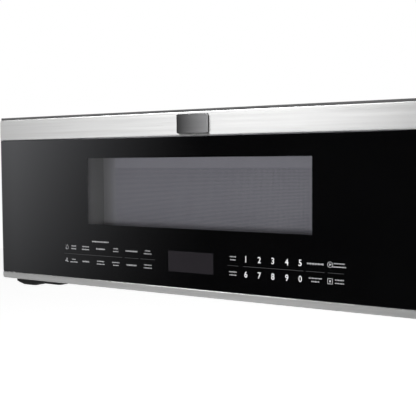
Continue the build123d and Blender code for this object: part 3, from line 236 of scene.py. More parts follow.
def box_pattern():
    """1 inside a box and 0 outside: the least distance in from its six sides, over the soft edge."""
    corners = {"Low X": -1.0, "High X": 1.0, "Low Y": -1.0, "High Y": 1.0, "Low Z": -1.0, "High Z": 1.0}
    group, given, end, place = pattern("inside_box", {**corners, "Soft": 0.0004}, ("Inside",))
    parts = node(group, "ShaderNodeSeparateXYZ", {0: place}).outputs
    least = None
    for axis in "XYZ":
        for depth in (math(group, "SUBTRACT", parts[axis], given["Low " + axis]),
                      math(group, "SUBTRACT", given["High " + axis], parts[axis])):
            least = depth if least is None else math(group, "MINIMUM", least, depth)
    share = math(group, "DIVIDE", least, given["Soft"])
    return close_pattern(group, end, {"Inside": remap(group, share, 0.0, 1.0, 0.0, 1.0)})


HOLES = hole_pattern()
INSIDE = box_pattern()


def inside_box(tree, soft=0.0004, **sides):
    """The mask of one box: sides are low_x, high_x and so on, in metres; a side left out is open."""
    box = node(tree, "ShaderNodeGroup", {"Soft": soft}, node_tree=INSIDE)
    for key, value in sides.items():
        end, axis = key.split("_")
        box.inputs[f"{end.title()} {axis.upper()}"].default_value = value
    return box.outputs["Inside"]


def overlay(material, amount, colour):
    """Turns a material's colour into another where the amount is 1."""
    tree = material.node_tree
    socket = tree.nodes["Principled BSDF"].inputs["Base Color"]
    under = socket.links[0].from_socket
    tree.links.new(mixed(tree, amount, under, colour), socket)


oven_enamel = finish(
    "oven_enamel", (0.16, 0.16, 0.165), (0.44, 0.44, 0.445), speck_pattern(),
    {"Scale": 420.0, "Rough Low": 0.24, "Rough High": 0.36}, 0.05, Coat_Weight=0.4, Coat_Roughness=0.15)
tree = oven_enamel.node_tree
# Painted shade: the lamp's holes are near-black dots in the enamel's colour, not cut holes.
lamp_hole = node(tree, "ShaderNodeGroup", {
    "Pitch": HOLE_PITCH, "Share": 0.3, "Across X": 0.0, "Across Y": 1.0}, node_tree=HOLES).outputs["Hole"]
lamp_area = inside_box(
    tree, high_x=OVEN_LEFT, low_y=LAMP_Y - LAMP_HOLES, high_y=LAMP_Y + LAMP_HOLES,
    low_z=LAMP_Z - LAMP_HOLES, high_z=LAMP_Z + LAMP_HOLES)
overlay(oven_enamel, math(tree, "MULTIPLY", lamp_hole, lamp_area), (0.02, 0.02, 0.02))
mica = finish(
    "mica_sheet", (0.30, 0.25, 0.18), (0.47, 0.41, 0.32), ZINC,
    {"Cell": 260.0, "Rough Low": 0.3, "Rough High": 0.55}, 0.25)
dress(oven_enamel, "oven_cavity")
dress(mica, "waveguide_cover")
dress(zinc_steel, "oven_lamp")


# ---- Turntable ----
# A pressed glass tray on a three-lobed coupler, with a ring of three rollers running below it.
# Coupler, ring and rollers are moulded in pale acetal.
pale_acetal = finish(
    "pale_acetal", (0.62, 0.61, 0.57), (0.72, 0.71, 0.67), GRAIN,
    {"Scale": 500.0, "Rough Low": 0.34, "Rough High": 0.44}, 0.12, Subsurface_Weight=0.05)
tray_glass = finish(
    "tray_glass", (0.93, 0.96, 0.945), (0.97, 0.985, 0.98), GRAIN,
    {"Scale": 120.0, "Rough Low": 0.015, "Rough High": 0.045}, 0.12, 0.0002,
    Transmission_Weight=0.94, IOR=1.5)
dress(zinc_steel, "turntable_motor")
dress(pale_acetal, "turntable_coupler", "roller_ring", "roller_1", "roller_2", "roller_3")
dress(tray_glass, "glass_tray")


# ---- Power parts round the oven ----
# The magnetron's pressed aluminium fins, a zinc waveguide, a transformer of stacked core sheets
# with varnished copper coils, an aluminium capacitor can, the cooling fan and a printed board.
COIL_LEFT, COIL_TOP = 0.29, -0.05             # the copper coils lie right of and below these,
COIL_FRONT, COIL_BACK = -0.1455, -0.0905      # before the first of these or behind the second
BOARD_PARTS = (-0.2755, -0.31, -0.15)         # the board's parts: left of the first, between the others in Y


def stripe_pattern():
    """Stacked sheets or close windings: a sine wave along the direction whose waves per metre are
    given for X, Y and Z, as tone, height and roughness."""
    group, given, end, place = pattern(
        "fine_stripes", {"X": 0.0, "Y": 0.0, "Z": 1000.0, "Rough Low": 0.35, "Rough High": 0.5},
        SURFACE)
    parts = node(group, "ShaderNodeSeparateXYZ", {0: place}).outputs
    turns = None
    for axis in "XYZ":
        part = math(group, "MULTIPLY", parts[axis], given[axis])
        turns = part if turns is None else math(group, "ADD", turns, part)
    wave = math(group, "SINE", math(group, "MULTIPLY", turns, 2 * pi))
    tone = remap(group, wave, -1.0, 1.0, 0.0, 1.0)
    rough = roughness(group, given, tone)
    return close_pattern(group, end, {"Tone": tone, "Roughness": rough, "Height": tone})


STRIPES = stripe_pattern()
pressed_aluminium = finish(
    "pressed_aluminium", (0.62, 0.63, 0.64), (0.78, 0.79, 0.80), GRAIN,
    {"Scale": 500.0, "Rough Low": 0.28, "Rough High": 0.42}, 0.15, Metallic=1.0)
core_sheets = finish(
    "core_sheets", (0.16, 0.16, 0.165), (0.34, 0.34, 0.35), STRIPES,
    {"X": 1600.0, "Z": 0.0, "Rough Low": 0.4, "Rough High": 0.58}, 0.5, 0.0001, Metallic=0.8)
tree = core_sheets.node_tree
coils = math(tree, "MAXIMUM", inside_box(tree, high_y=COIL_FRONT, low_x=COIL_LEFT, high_z=COIL_TOP),
             inside_box(tree, low_y=COIL_BACK, low_x=COIL_LEFT, high_z=COIL_TOP))
overlay(core_sheets, coils, (0.30, 0.085, 0.03))
motor_steel = finish(
    "motor_steel", (0.28, 0.28, 0.29), (0.46, 0.46, 0.47), STRIPES,
    {"X": 900.0, "Z": 0.0, "Rough Low": 0.35, "Rough High": 0.5}, 0.3, 0.00008, Metallic=0.85)
satin_moulding = finish(
    "satin_moulding", (0.011, 0.011, 0.012), (0.018, 0.018, 0.019), GRAIN,
    {"Scale": 1300.0, "Rough Low": 0.42, "Rough High": 0.56}, 0.35, 0.00005)
tan_board = finish(
    "tan_board", (0.20, 0.115, 0.04), (0.30, 0.18, 0.07), GRAIN,
    {"Scale": 260.0, "Rough Low": 0.35, "Rough High": 0.5}, 0.1)
tree = tan_board.node_tree
overlay(tan_board, inside_box(
    tree, high_x=BOARD_PARTS[0], low_y=BOARD_PARTS[1], high_y=BOARD_PARTS[2]), (0.03, 0.045, 0.075))
dress(pressed_aluminium, "magnetron", "hv_capacitor")
dress(zinc_steel, "waveguide")
dress(core_sheets, "hv_transformer")
dress(motor_steel, "cooling_fan_motor")
dress(satin_moulding, "cooling_fan_shroud", "cooling_fan")
dress(tan_board, "power_board")


# ---- Blower, damper and top grille ----
# A twin-wheel blower in a zinc housing, a sheet damper in the duct neck, and the moulded grille
# over the charcoal filter.
charcoal = finish(
    "charcoal", (0.006, 0.006, 0.006), (0.035, 0.035, 0.036), ZINC,
    {"Cell": 520.0, "Rough Low": 0.55, "Rough High": 0.85}, 0.9, 0.0008)
dress(zinc_steel, "blower_housing", "damper_frame", "damper_flap")
dress(motor_steel, "blower_motor")
dress(satin_moulding, "blower_wheels", "vent_grille")
dress(charcoal, "charcoal_filter")


# ---- Grease filters ----
# Each is a rolled aluminium rim round two layers of expanded aluminium mesh, with a bent wire
# loop at its front edge to pull it down by. The back layer's aluminium is painted darker than the
# front's: painted shade.
CORNER_STEPS = 7         # points round each corner of an outline
FILTER_CORNER = 0.009
RIM_WIDTH = 0.0085
RIM_FOLD = 0.001
MESH_LONG, MESH_SHORT = 0.0105, 0.0052
MESH_COLUMNS, MESH_ROWS = 61, 41         # points along and across one layer
MESH_WAVE, MESH_RELIEF = 0.021, 0.0004   # length of half a wave of a layer, and its height
FRONT_LAYER, BACK_LAYER = 0.0016, 0.0060     # height of each layer over the filter's underside
LOOP_START = 0.004
LOOP_WIRE = 0.0011
LOOP_HALF, LOOP_REACH = 0.015, 0.013


def rounded_outline(x0, x1, z0, z1, corners):
    """Points round a rectangle and their outward directions: each corner (lower right, upper right,
    upper left, lower left) is a quarter circle about a centre set in by its own radius."""
    places = ((x1, z0, 1, -1), (x1, z1, 1, 1), (x0, z1, -1, 1), (x0, z0, -1, -1))
    points, outward = [], []
    for (x, z, sx, sz), start, radius in zip(places, (-90, 0, 90, 180), corners):
        turn = np.radians(np.linspace(start, start + 90, CORNER_STEPS))
        direction = np.stack([np.cos(turn), np.sin(turn)], axis=1)
        points.append(np.array([x - sx * radius, z - sz * radius]) + direction * radius)
        outward.append(direction)
    return np.concatenate(points), np.concatenate(outward)


def new_piece(name, verts, faces, flat=(), sharp=32):
    """A mesh object from points and faces: faces listed as flat keep their own direction, the others
    are smooth except over edges sharper than the given degrees."""
    mesh = bpy.data.meshes.new(name)
    mesh.from_pydata([tuple(v) for v in np.asarray(verts, float)], [], faces)
    mesh.set_sharp_from_angle(angle=radians(sharp))
    smooth = np.ones(len(mesh.polygons), bool)
    smooth[list(flat)] = False
    mesh.polygons.foreach_set("use_smooth", smooth)
    piece = bpy.data.objects.new(name, mesh)
    bpy.context.scene.collection.objects.link(piece)
    return piece


def joined_loops(name, loops, ring=False):
    """A surface through closed loops of points, one loop to a row: row k joins row k + 1. The last
    joins the first when it is a ring, and otherwise one flat face closes each of the two."""
    rows, count = loops.shape[:2]
    here = np.arange(count)
    after = np.roll(here, -1)
    faces = []
    for k in range(rows if ring else rows - 1):
        low, high = k * count, (k + 1) % rows * count
        faces.append(np.stack([here + low, here + high, after + high, after + low], axis=1))
    faces = [tuple(q) for q in np.concatenate(faces).tolist()]
    flat = []
    if not ring:
        flat = [len(faces), len(faces) + 1]
        faces += [tuple(here.tolist()), tuple((here[::-1] + (rows - 1) * count).tolist())]
    return new_piece(name, loops.reshape(-1, 3), faces, flat)


def wire(name, path, radius, sides=10):
    """A round wire along a path: a circle carried along it, square to its run, with closed ends."""
    path = np.asarray(path, float)
    run = np.gradient(path, axis=0)
    run /= np.linalg.norm(run, axis=1)[:, None]
    across = np.cross(run, (0.0, 0.0, 1.0))
    across /= np.linalg.norm(across, axis=1)[:, None]
    above = np.cross(across, run)
    turn = np.linspace(0, 2 * pi, sides, endpoint=False)
    loops = path[:, None] + radius * (
        across[:, None] * np.cos(turn)[None, :, None] + above[:, None] * np.sin(turn)[None, :, None])
    return joined_loops(name, loops)


def mesh_pattern():
    """Expanded mesh: two families of slanting strands, each where a sine of one diagonal is small.
    1 on a strand and 0 between them."""
    group, given, end, place = pattern(
        "expanded_mesh", {"Long": 0.01, "Short": 0.005, "Strand": 0.42, "Shift": 0.0}, ("Strand",))
    parts = node(group, "ShaderNodeSeparateXYZ", {0: place}).outputs
    u = math(group, "ADD", math(group, "DIVIDE", parts["X"], given["Long"]), given["Shift"])
    v = math(group, "DIVIDE", parts["Y"], given["Short"])
    strands = []
    for operation in ("ADD", "SUBTRACT"):
        turns = math(group, operation, u, v)
        strands.append(math(group, "ABSOLUTE", math(group, "SINE", math(group, "MULTIPLY", turns, pi))))
    near = math(group, "MINIMUM", strands[0], strands[1])
    inside = math(group, "SUBTRACT", given["Strand"], near)
    return close_pattern(group, end, {"Strand": remap(group, inside, -0.04, 0.04, 0.0, 1.0)})


def mesh_layer(name, x0, x1, y0, y1, z):
    """One layer of mesh: a grid of points whose height is the product of two slow cosines."""
    x, y = np.meshgrid(np.linspace(x0, x1, MESH_COLUMNS), np.linspace(y0, y1, MESH_ROWS))
    height = z + MESH_RELIEF * np.cos((x - x0) * pi / MESH_WAVE) * np.cos((y - y0) * pi / MESH_WAVE)
    points = np.stack([x, y, height], axis=2).reshape(-1, 3)
    first = (np.arange(MESH_ROWS - 1)[:, None] * MESH_COLUMNS + np.arange(MESH_COLUMNS - 1)).ravel()
    faces = np.stack([first, first + MESH_COLUMNS, first + MESH_COLUMNS + 1, first + 1], axis=1)
    return new_piece(name, points, [tuple(q) for q in faces.tolist()])


EXPANDED = mesh_pattern()


def stranded(name, dark, pale, smoothest, roughest, strand, shift):
    """Aluminium mesh: there on its strands and clear between them, each layer shifted by its own."""
    metal = finish(name, dark, pale, GRAIN, {
        "Scale": 900.0, "Rough Low": smoothest, "Rough High": roughest}, 0.1, Metallic=1.0)
    tree = metal.node_tree
    strands = node(tree, "ShaderNodeGroup", {
        "Long": MESH_LONG, "Short": MESH_SHORT, "Strand": strand, "Shift": shift}, node_tree=EXPANDED)
    tree.links.new(strands.outputs["Strand"], tree.nodes["Principled BSDF"].inputs["Alpha"])
    return metal


mesh_metal = stranded(
    "mesh_metal", (0.50, 0.51, 0.52), (0.66, 0.67, 0.68), 0.32, 0.45, 0.46, 0.0)
# Painted shade: the back layer is a darker copy of the front layer's aluminium.
shaded_back_mesh_metal = stranded(
    "shaded_back_mesh_metal", (0.32, 0.33, 0.34), (0.46, 0.47, 0.48), 0.36, 0.5, 0.6, 0.5)
rim_metal = finish(
    "rim_metal", (0.60, 0.61, 0.62), (0.74, 0.75, 0.76), GRAIN,
    {"Scale": 700.0, "Rough Low": 0.26, "Rough High": 0.38}, 0.12, Metallic=1.0)
for side in ("left", "right"):
    low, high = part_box("grease_filter_" + side)
    outline, outward = rounded_outline(low[0], high[0], low[1], high[1], (FILTER_CORNER,) * 4)
    section = [      # the rim's profile with its rounded edges: inset from the outline, height
        (RIM_WIDTH, high[2]), (0.001, high[2]), (0.0003, high[2] - 0.0003), (0.0, high[2] - 0.001),
        (0.0, low[2] + 0.0015), (0.00045, low[2] + 0.00045), (0.0015, low[2]),
        (RIM_WIDTH - 0.001, low[2]), (RIM_WIDTH, low[2] + 0.001)]
    loops = np.stack([np.column_stack([outline - outward * inset, np.full(len(outline), z)])
                      for inset, z in section])
    rim = joined_loops("filter_rim_" + side, loops, ring=True)
    edge = RIM_WIDTH - RIM_FOLD
    sides = (low[0] + edge, high[0] - edge, low[1] + edge, high[1] - edge)
    front_mesh = mesh_layer("filter_mesh_" + side, *sides, low[2] + FRONT_LAYER)
    back_mesh = mesh_layer("filter_back_mesh_" + side, *sides, low[2] + BACK_LAYER)
    turn = np.linspace(0, pi, 15)
    middle = (low[0] + high[0]) / 2
    start = low[1] + LOOP_START
    path = np.stack([
        middle - LOOP_HALF * np.cos(turn), start + LOOP_REACH * np.sin(turn),
        low[2] - LOOP_WIRE * 0.6 + 0.0 * turn], axis=1)
    pull_loop = wire("filter_loop_" + side, path, LOOP_WIRE)
    for piece, metal in ((rim, rim_metal), (front_mesh, mesh_metal), (back_mesh, shaded_back_mesh_metal),
                         (pull_loop, bright_zinc)):
        piece.data.materials.append(metal)
        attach(piece, "filter_" + side)
    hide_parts("grease_filter_" + side)
    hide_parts("grease_filter_" + side)
    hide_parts("grease_filter_" + side)


# ---- Hood lamps ----
# Two moulded lamp housings in the base, each closed by a frosted lens with fine ribs inside.
frosted_lens = finish(
    "frosted_lens", (0.78, 0.79, 0.78), (0.88, 0.89, 0.88), STRIPES,
    {"X": 420.0, "Z": 0.0, "Rough Low": 0.28, "Rough High": 0.36}, 0.6, 0.0003,
    Transmission_Weight=0.35, IOR=1.49)
dress(satin_moulding, "hood_lamps")
dress(frosted_lens, "hood_lamp_lenses")


# ---- Hinge, latch and door switches ----
# Black powder-coated brackets with plated pins and screws, acetal bushes and latch bar, and two
# microswitches with small plungers behind the face. The brackets' black is a darker copy of the
# wrap's powder coat: painted shade.
# Painted shade: the brackets' black is darker than the wrap's powder coat.
shaded_bracket_black = finish(
    "shaded_bracket_black", (0.0030, 0.0030, 0.0032), (0.0050, 0.0050, 0.0053), GRAIN,
    {"Scale": 1100.0, "Rough Low": 0.30, "Rough High": 0.40}, 0.3, Specular_IOR_Level=0.3)
dress(shaded_bracket_black, "lower_hinge_bracket", "upper_hinge_bracket")
dress(bright_zinc, "hinge_pins", "hinge_screws", "latch_spring")
dress(pale_acetal, "hinge_bushes", "latch_lever", "switch_plunger_lower", "switch_plunger_upper")
dress(satin_moulding, "latch_board", "door_switches")


# ---- Door carrier, rear cover and inner steel door ----
# Two black mouldings clipped together round a pressed steel inner door, whose walls make the
# window's well. A thin steel screen closes the well, with a clear pane. Its close round holes are
# painted dark dots, painted shade for the dim oven seen through them, and its side margins are
# painted darker towards the well's side walls as painted shade.
well_paint = finish(
    "well_paint", (0.25, 0.25, 0.252), (0.29, 0.29, 0.292), GRAIN,
    {"Scale": 700.0, "Rough Low": 0.45, "Rough High": 0.55}, 0.12)
screen_paint = finish(
    "screen_paint", (0.475, 0.47, 0.532), (0.515, 0.51, 0.572), GRAIN,
    {"Scale": 700.0, "Rough Low": 0.45, "Rough High": 0.55}, 0.1)
SCREEN_PITCH = 0.0019
SCREEN_HOLE = 0.245      # a hole's radius as a share of the pitch
SIDE_MARGIN, LOWER_MARGIN, UPPER_MARGIN = 0.0235, 0.001, 0.0190
tree = screen_paint.node_tree
screen_holes = node(tree, "ShaderNodeGroup", {
    "Pitch": SCREEN_PITCH, "Share": SCREEN_HOLE}, node_tree=HOLES).outputs["Hole"]
low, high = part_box("window_screen")
# Painted shade: the side margins are painted grey that darkens towards the well's side walls.
wall_shade_ramp = math(tree, "POWER", inside_box(tree, SIDE_MARGIN, low_x=low[0], high_x=high[0]), 1.6)
beside = math(tree, "SUBTRACT", 1.0, inside_box(
    tree, low_x=low[0] + SIDE_MARGIN, high_x=high[0] - SIDE_MARGIN))
overlay(screen_paint, beside, mixed(tree, wall_shade_ramp, (0.26, 0.26, 0.268), (0.43, 0.43, 0.47)))
pierced = inside_box(tree, low_x=low[0] + SIDE_MARGIN, high_x=high[0] - SIDE_MARGIN,
                     low_z=low[2] + LOWER_MARGIN, high_z=high[2] - UPPER_MARGIN)
# Painted shade: the holes are dark dots painted on the screen, for the dim oven seen through them.
overlay(screen_paint, math(tree, "MULTIPLY", screen_holes, pierced), (0.055, 0.054, 0.064))
pane_film = finish(
    "pane_film", (0.92, 0.93, 0.93), (0.97, 0.98, 0.98), GRAIN,
    {"Scale": 60.0, "Rough Low": 0.03, "Rough High": 0.08}, 0.1, 0.0001,
    Transmission_Weight=0.92, IOR=1.45)
green_board = finish(
    "green_board", (0.010, 0.055, 0.022), (0.018, 0.085, 0.034), GRAIN,
    {"Scale": 220.0, "Rough Low": 0.3, "Rough High": 0.42}, 0.1)
display_face = finish(
    "display_face", (0.070, 0.066, 0.070), (0.082, 0.077, 0.083), GRAIN,
    {"Scale": 300.0, "Rough Low": 0.4, "Rough High": 0.5}, 0.05)
dress(satin_moulding, "door_frame", "door_rear_cover")
dress(well_paint, "choke_pan")
dress(screen_paint, "window_screen")
dress(pane_film, "inner_pane")
dress(green_board, "touch_board")
dress(display_face, "display_module")


# ---- Door glass ----
# Smoke-tinted float glass with ground edges, fired black right behind its front except over the
# window, with a dark grey field over the display. It lies between the two steel trims.
SMOKE = 0.30             # how much one face of the tinted glass holds back
WINDOW = (-0.1905, 0.1905, -0.0384, 0.0616)
DISPLAY = (-0.0386, 0.0386, -0.0994, -0.0700)
GROUND_EDGE = 0.0005
GLASS_CORNER = 0.0006
BACK_ROOM = 0.0045       # how far the back stays clear round the window, as its print is in front


def panel(name, outline, outward, rows):
    """A panel facing -Y: each row is the outline drawn in by its inset, at its own depth in Y."""
    loops = []
    for inset, y in rows:
        place = outline - outward * np.broadcast_to(inset, len(outline))[:, None]
        loops.append(np.stack([place[:, 0], np.broadcast_to(y, len(outline)), place[:, 1]], axis=1))
    return joined_loops(name, np.stack(loops))


def round_over(radius, y, steps=4):
    """Rows of a rounded edge, from the flat face out to the side: a quarter circle."""
    return [(radius * (1 - sin(t)), y + radius * (1 - cos(t))) for t in np.linspace(0, pi / 2, steps + 1)]


low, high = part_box("door_glass")
outline, outward = rounded_outline(low[0], high[0], low[2], high[2], (GLASS_CORNER,) * 4)
glass_sheet = panel("glass_sheet", outline, outward, round_over(GROUND_EDGE, low[1], 3) + [
    (0.0, high[1] - GROUND_EDGE), (GROUND_EDGE, high[1])])
black_glass = finish(
    "black_glass", (0.0010, 0.0010, 0.0011), (0.0014, 0.0014, 0.0015), GRAIN,
    {"Scale": 60.0, "Rough Low": 0.035, "Rough High": 0.055}, 0.0, Specular_Tint=(0.93, 0.945, 1.0, 1.0))
tree = black_glass.node_tree
x0, x1, z0, z1 = WINDOW
clear = math(tree, "MAXIMUM", inside_box(tree, low_x=x0, high_x=x1, low_z=z0, high_z=z1), inside_box(
    tree, low_x=x0 - BACK_ROOM, high_x=x1 + BACK_ROOM, low_y=low[1] + GROUND_EDGE,
    low_z=z0 - BACK_ROOM, high_z=z1 + BACK_ROOM))
tree.links.new(remap(tree, clear, 0.0, 1.0, 1.0, SMOKE), tree.nodes["Principled BSDF"].inputs["Alpha"])
x0, x1, z0, z1 = DISPLAY
overlay(black_glass, inside_box(tree, low_x=x0, high_x=x1, low_z=z0, high_z=z1), (0.0146, 0.0132, 0.0152))
glass_sheet.data.materials.append(black_glass)
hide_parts("door_glass")
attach(glass_sheet, "door")


# ---- Printed legends ----
# Pale ink on the glass: ten digits, plain signs and rows of short dashes for the keys, with faint
# rules between the two rows. Nothing is spelled out.
low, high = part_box("door_glass")
INK_LIFT = 0.00005       # how far the ink stands on the glass
INK_Y = low[1] - INK_LIFT
UPPER_ROW, LOWER_ROW, RULE_ROW = -0.0748, -0.0953, -0.0849
LINE_GAP = 0.0021        # half the distance between a key's two lines
DASH_HEIGHT = 0.0021
DASH_WIDTH = 0.0017
DASH_GAP = 0.00045
DIGIT_HEIGHT = 0.0085
DIGIT_NARROW = 0.90
DIGIT_WEIGHT = 0.016     # how far a digit's strokes are thickened, against its size of 1
SINGLE_HEIGHT = 0.0029   # dashes of a key with one line
HEADING_X, HEADING_Z, HEADING_WIDTH, HEADING_HEIGHT = -0.1664, -0.0640, 0.0328, 0.0025
RULE_HEIGHT = 0.0006
DIGIT_X = (0.0911, 0.1121, 0.1326, 0.1535, 0.1731)


def print_on_glass(name, verts, faces, ink):
    """Flat faces as one printed piece in its ink."""
    piece = new_piece(name, np.concatenate(verts), faces, range(len(faces)))
    piece.data.materials.append(ink)
    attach(piece, "door")


def printed(name, shapes, ink):
    """Flat printed shapes as one piece on the glass: each is a closed outline of X and Z, turned to
    run the way that faces the front, and filled with one face."""
    verts, faces, start = [], [], 0
    for shape in shapes:
        shape = np.asarray(shape, float)
        after = np.roll(shape, -1, axis=0)
        if np.sum(shape[:, 0] * after[:, 1] - after[:, 0] * shape[:, 1]) < 0:
            shape = shape[::-1]
        verts.append(np.stack([shape[:, 0], np.full(len(shape), INK_Y), shape[:, 1]], axis=1))
        faces.append(tuple(range(start, start + len(shape))))
        start += len(shape)
    print_on_glass(name, verts, faces, ink)


def bar(x, z, width, height):
    """A bar with round ends: two half circles joined."""
    turn = np.radians(np.linspace(-90, 90, 5))
    end = max(width - height, 0.0) / 2
    across, along = np.cos(turn) * min(height, width) / 2, np.sin(turn) * height / 2
    return np.concatenate([np.stack([x + end + across, z + along], axis=1),
                           np.stack([x - end - across, z - along], axis=1)])


def dashes(x, z, width, height=DASH_HEIGHT):
    """A row of short dashes that fills a width: each is a cosine's share lower or taller."""
    count = max(int(round((width + DASH_GAP) / (DASH_WIDTH + DASH_GAP))), 2)
    step = (width + DASH_GAP) / count
    places = x - width / 2 + step * (np.arange(count) + 0.5) - DASH_GAP / 2
    tall = height * (0.86 + 0.14 * np.cos(2.4 * np.arange(count) + 40 * x))
    return [bar(p, z, step - DASH_GAP, h) for p, h in zip(places, tall)]


def ring(x, z, radius, width, start=0, end=360, count=24):
    """A ring or an arc: two circles of points joined step by step."""
    turn = np.radians(np.linspace(start, end, count + 1))
    way = np.stack([np.cos(turn), np.sin(turn)], axis=1)
    outer, inner = np.array([x, z]) + way * radius, np.array([x, z]) + way * (radius - width)
    return [np.array([inner[i], outer[i], outer[i + 1], inner[i + 1]]) for i in range(count)]


def stroke(x0, z0, x1, z1, width):
    """A straight stroke from one point to another: a thin rectangle."""
    along = np.array([x1 - x0, z1 - z0])
    side = np.array([-along[1], along[0]]) / np.hypot(*along) * width / 2
    start, end = np.array([x0, z0]), np.array([x1, z1])
    return np.array([start - side, end - side, end + side, start + side])


def key_digits(rows, ink):
    """Digits from the built-in letter shapes, filled flat, brought to one height and moved into rows."""
    verts, faces, start = [], [], 0
    for text, x, z in rows:
        curve = bpy.data.curves.new("digit", "FONT")
        curve.body = text
        curve.offset = DIGIT_WEIGHT
        curve.resolution_u = 4
        shown = bpy.data.objects.new("digit", curve)
        bpy.context.scene.collection.objects.link(shown)
        bpy.context.view_layer.update()
        flat = bpy.data.meshes.new_from_object(shown.evaluated_get(bpy.context.evaluated_depsgraph_get()))
        points = np.empty(len(flat.vertices) * 3)
        flat.vertices.foreach_get("co", points)
        points = points.reshape(-1, 3)
        scale = DIGIT_HEIGHT / np.ptp(points[:, 1])
        local = (points - (points.min(axis=0) + points.max(axis=0)) / 2) * scale
        verts.append(np.stack([
            x + DIGIT_NARROW * local[:, 0], np.full(len(local), INK_Y), z + local[:, 1]], axis=1))
        faces += [tuple(start + i for i in polygon.vertices) for polygon in flat.polygons]
        start += len(points)
        bpy.data.objects.remove(shown)
        bpy.data.curves.remove(curve)
        bpy.data.meshes.remove(flat)
    print_on_glass("key_digits", verts, faces, ink)


def printing_ink(name, dark, pale):
    """Satin ink of one colour, without relief."""
    return finish(name, dark, pale, GRAIN, {"Scale": 1500.0, "Rough Low": 0.4, "Rough High": 0.5}, 0.0)


digit_ink = printing_ink("digit_ink", (0.50, 0.50, 0.51), (0.60, 0.60, 0.61))
legend_ink = printing_ink("legend_ink", (0.29, 0.29, 0.30), (0.36, 0.36, 0.37))
rule_ink = printing_ink("rule_ink", (0.024, 0.024, 0.026), (0.034, 0.034, 0.036))
key_digits([(str(i + 1), x, UPPER_ROW) for i, x in enumerate(DIGIT_X)]
           + [(str((i + 6) % 10), x, LOWER_ROW) for i, x in enumerate(DIGIT_X)], digit_ink)

marks = []
for x, wide, wider, row in (     # X, lengths of a key's upper and lower line, row
        (-0.2210, 0.0096, 0.0104, UPPER_ROW), (-0.1965, 0.0141, 0.0145, UPPER_ROW),
        (-0.1362, 0.0086, 0.0100, UPPER_ROW), (-0.0760, 0.0101, 0.0144, UPPER_ROW),
        (-0.2210, 0.0073, 0.0150, LOWER_ROW), (-0.1662, 0.0139, 0.0153, LOWER_ROW),
        (-0.1362, 0.0139, 0.0104, LOWER_ROW), (-0.0760, 0.0141, 0.0147, LOWER_ROW),
        (0.0704, 0.0097, 0.0087, UPPER_ROW), (0.0704, 0.0123, 0.0110, LOWER_ROW),
        (0.1947, 0.0184, 0.0113, LOWER_ROW), (0.2281, 0.0149, 0.0187, UPPER_ROW),
        (0.2284, 0.0124, 0.0124, LOWER_ROW)):
    marks += dashes(x, row + LINE_GAP, wide) + dashes(x, row - LINE_GAP, wider)
for x, wide, row in (
        (-0.1662, 0.0174, UPPER_ROW), (-0.1062, 0.0224, UPPER_ROW), (-0.1965, 0.0136, LOWER_ROW),
        (-0.1062, 0.0189, LOWER_ROW), (0.1947, 0.0233, UPPER_ROW)):
    marks += dashes(x, row, wide, SINGLE_HEIGHT)
marks += dashes(HEADING_X, HEADING_Z, HEADING_WIDTH, HEADING_HEIGHT)
printed("key_dashes", marks, legend_ink)

DROP_X, FAN_X, SIGN_X = -0.2345, -0.2354, 0.2155
SIGN_HALF = 0.0033
SIGN_LINE = 0.0007       # width of the lines that the signs are drawn with
drop_base = UPPER_ROW - 0.0008
signs = ring(DROP_X, drop_base, 0.0028, SIGN_LINE, 150, 390)
signs += [stroke(DROP_X + side * 0.0023, drop_base + 0.0012, DROP_X, drop_base + 0.0044, SIGN_LINE)
          for side in (-1, 1)]
for k in range(3):
    turn = radians(80 + 120 * k)
    blade = np.radians(np.linspace(0, 360, 10, endpoint=False))
    leaf = np.stack([0.0021 + 0.0017 * np.cos(blade), 0.0010 * np.sin(blade)], axis=1)
    spin = np.array([[cos(turn), sin(turn)], [-sin(turn), cos(turn)]])
    signs.append(leaf @ spin + (FAN_X, LOWER_ROW))
start_z = UPPER_ROW + 0.0004
signs += ring(SIGN_X, start_z, 0.0038, SIGN_LINE)
signs.append(np.array([(-0.0012, -0.0018), (0.0022, 0.0), (-0.0012, 0.0018)]) + (SIGN_X, start_z))
for x0, z0, x1, z1 in ((-1, -1, 1, -1), (1, -1, 1, 1), (1, 1, -1, 1), (-1, 1, -1, -1)):
    signs.append(stroke(SIGN_X + x0 * SIGN_HALF, LOWER_ROW + z0 * SIGN_HALF,
                        SIGN_X + x1 * SIGN_HALF, LOWER_ROW + z1 * SIGN_HALF, SIGN_LINE))
signs.append(stroke(SIGN_X - 0.0013, LOWER_ROW, SIGN_X + 0.0013, LOWER_ROW, 0.0026))
printed("key_signs", signs, legend_ink)
printed("key_rules", [bar(x, RULE_ROW, wide, RULE_HEIGHT) for x, wide in (
    (-0.1824, 0.1177), (-0.1060, 0.0261), (-0.0763, 0.0268), (0.0706, 0.0178),
    (0.1321, 0.0907), (0.1946, 0.0261), (0.2235, 0.0227))], rule_ink)


# ---- Steel band and bottom strip ----
# Stainless sheet brushed along its length, folded back round the door's top and ends. The strip
# below the glass is the same sheet folded narrow, given a darker copy of the band's steel as
# painted shade, and both clip over the carrier.
SHEET = 0.0010
FOLD = 0.0009            # radius of each fold
CORNER = 0.004


def brush_pattern():
    """Brushed lines along X: fine and coarse noise stretched far along the stroke."""
    group, given, end, place = pattern(
        "brushed_lines", {"Pitch": 1100.0, "Rough Low": 0.30, "Rough High": 0.42}, SURFACE)
    drawn = node(group, "ShaderNodeVectorMath", {
        0: place, 1: (0.010, 1.0, 1.0)}, operation="MULTIPLY").outputs[0]
    fine = noise(group, drawn, given["Pitch"], 3.0)
    coarse = noise(group, drawn, 170.0, 2.0)
    tone = remap(group, math(group, "ADD", fine, coarse), 0.4, 1.6, 0.0, 1.0)
    rough = roughness(group, given, tone)
    return close_pattern(group, end, {"Tone": tone, "Roughness": rough, "Height": fine})


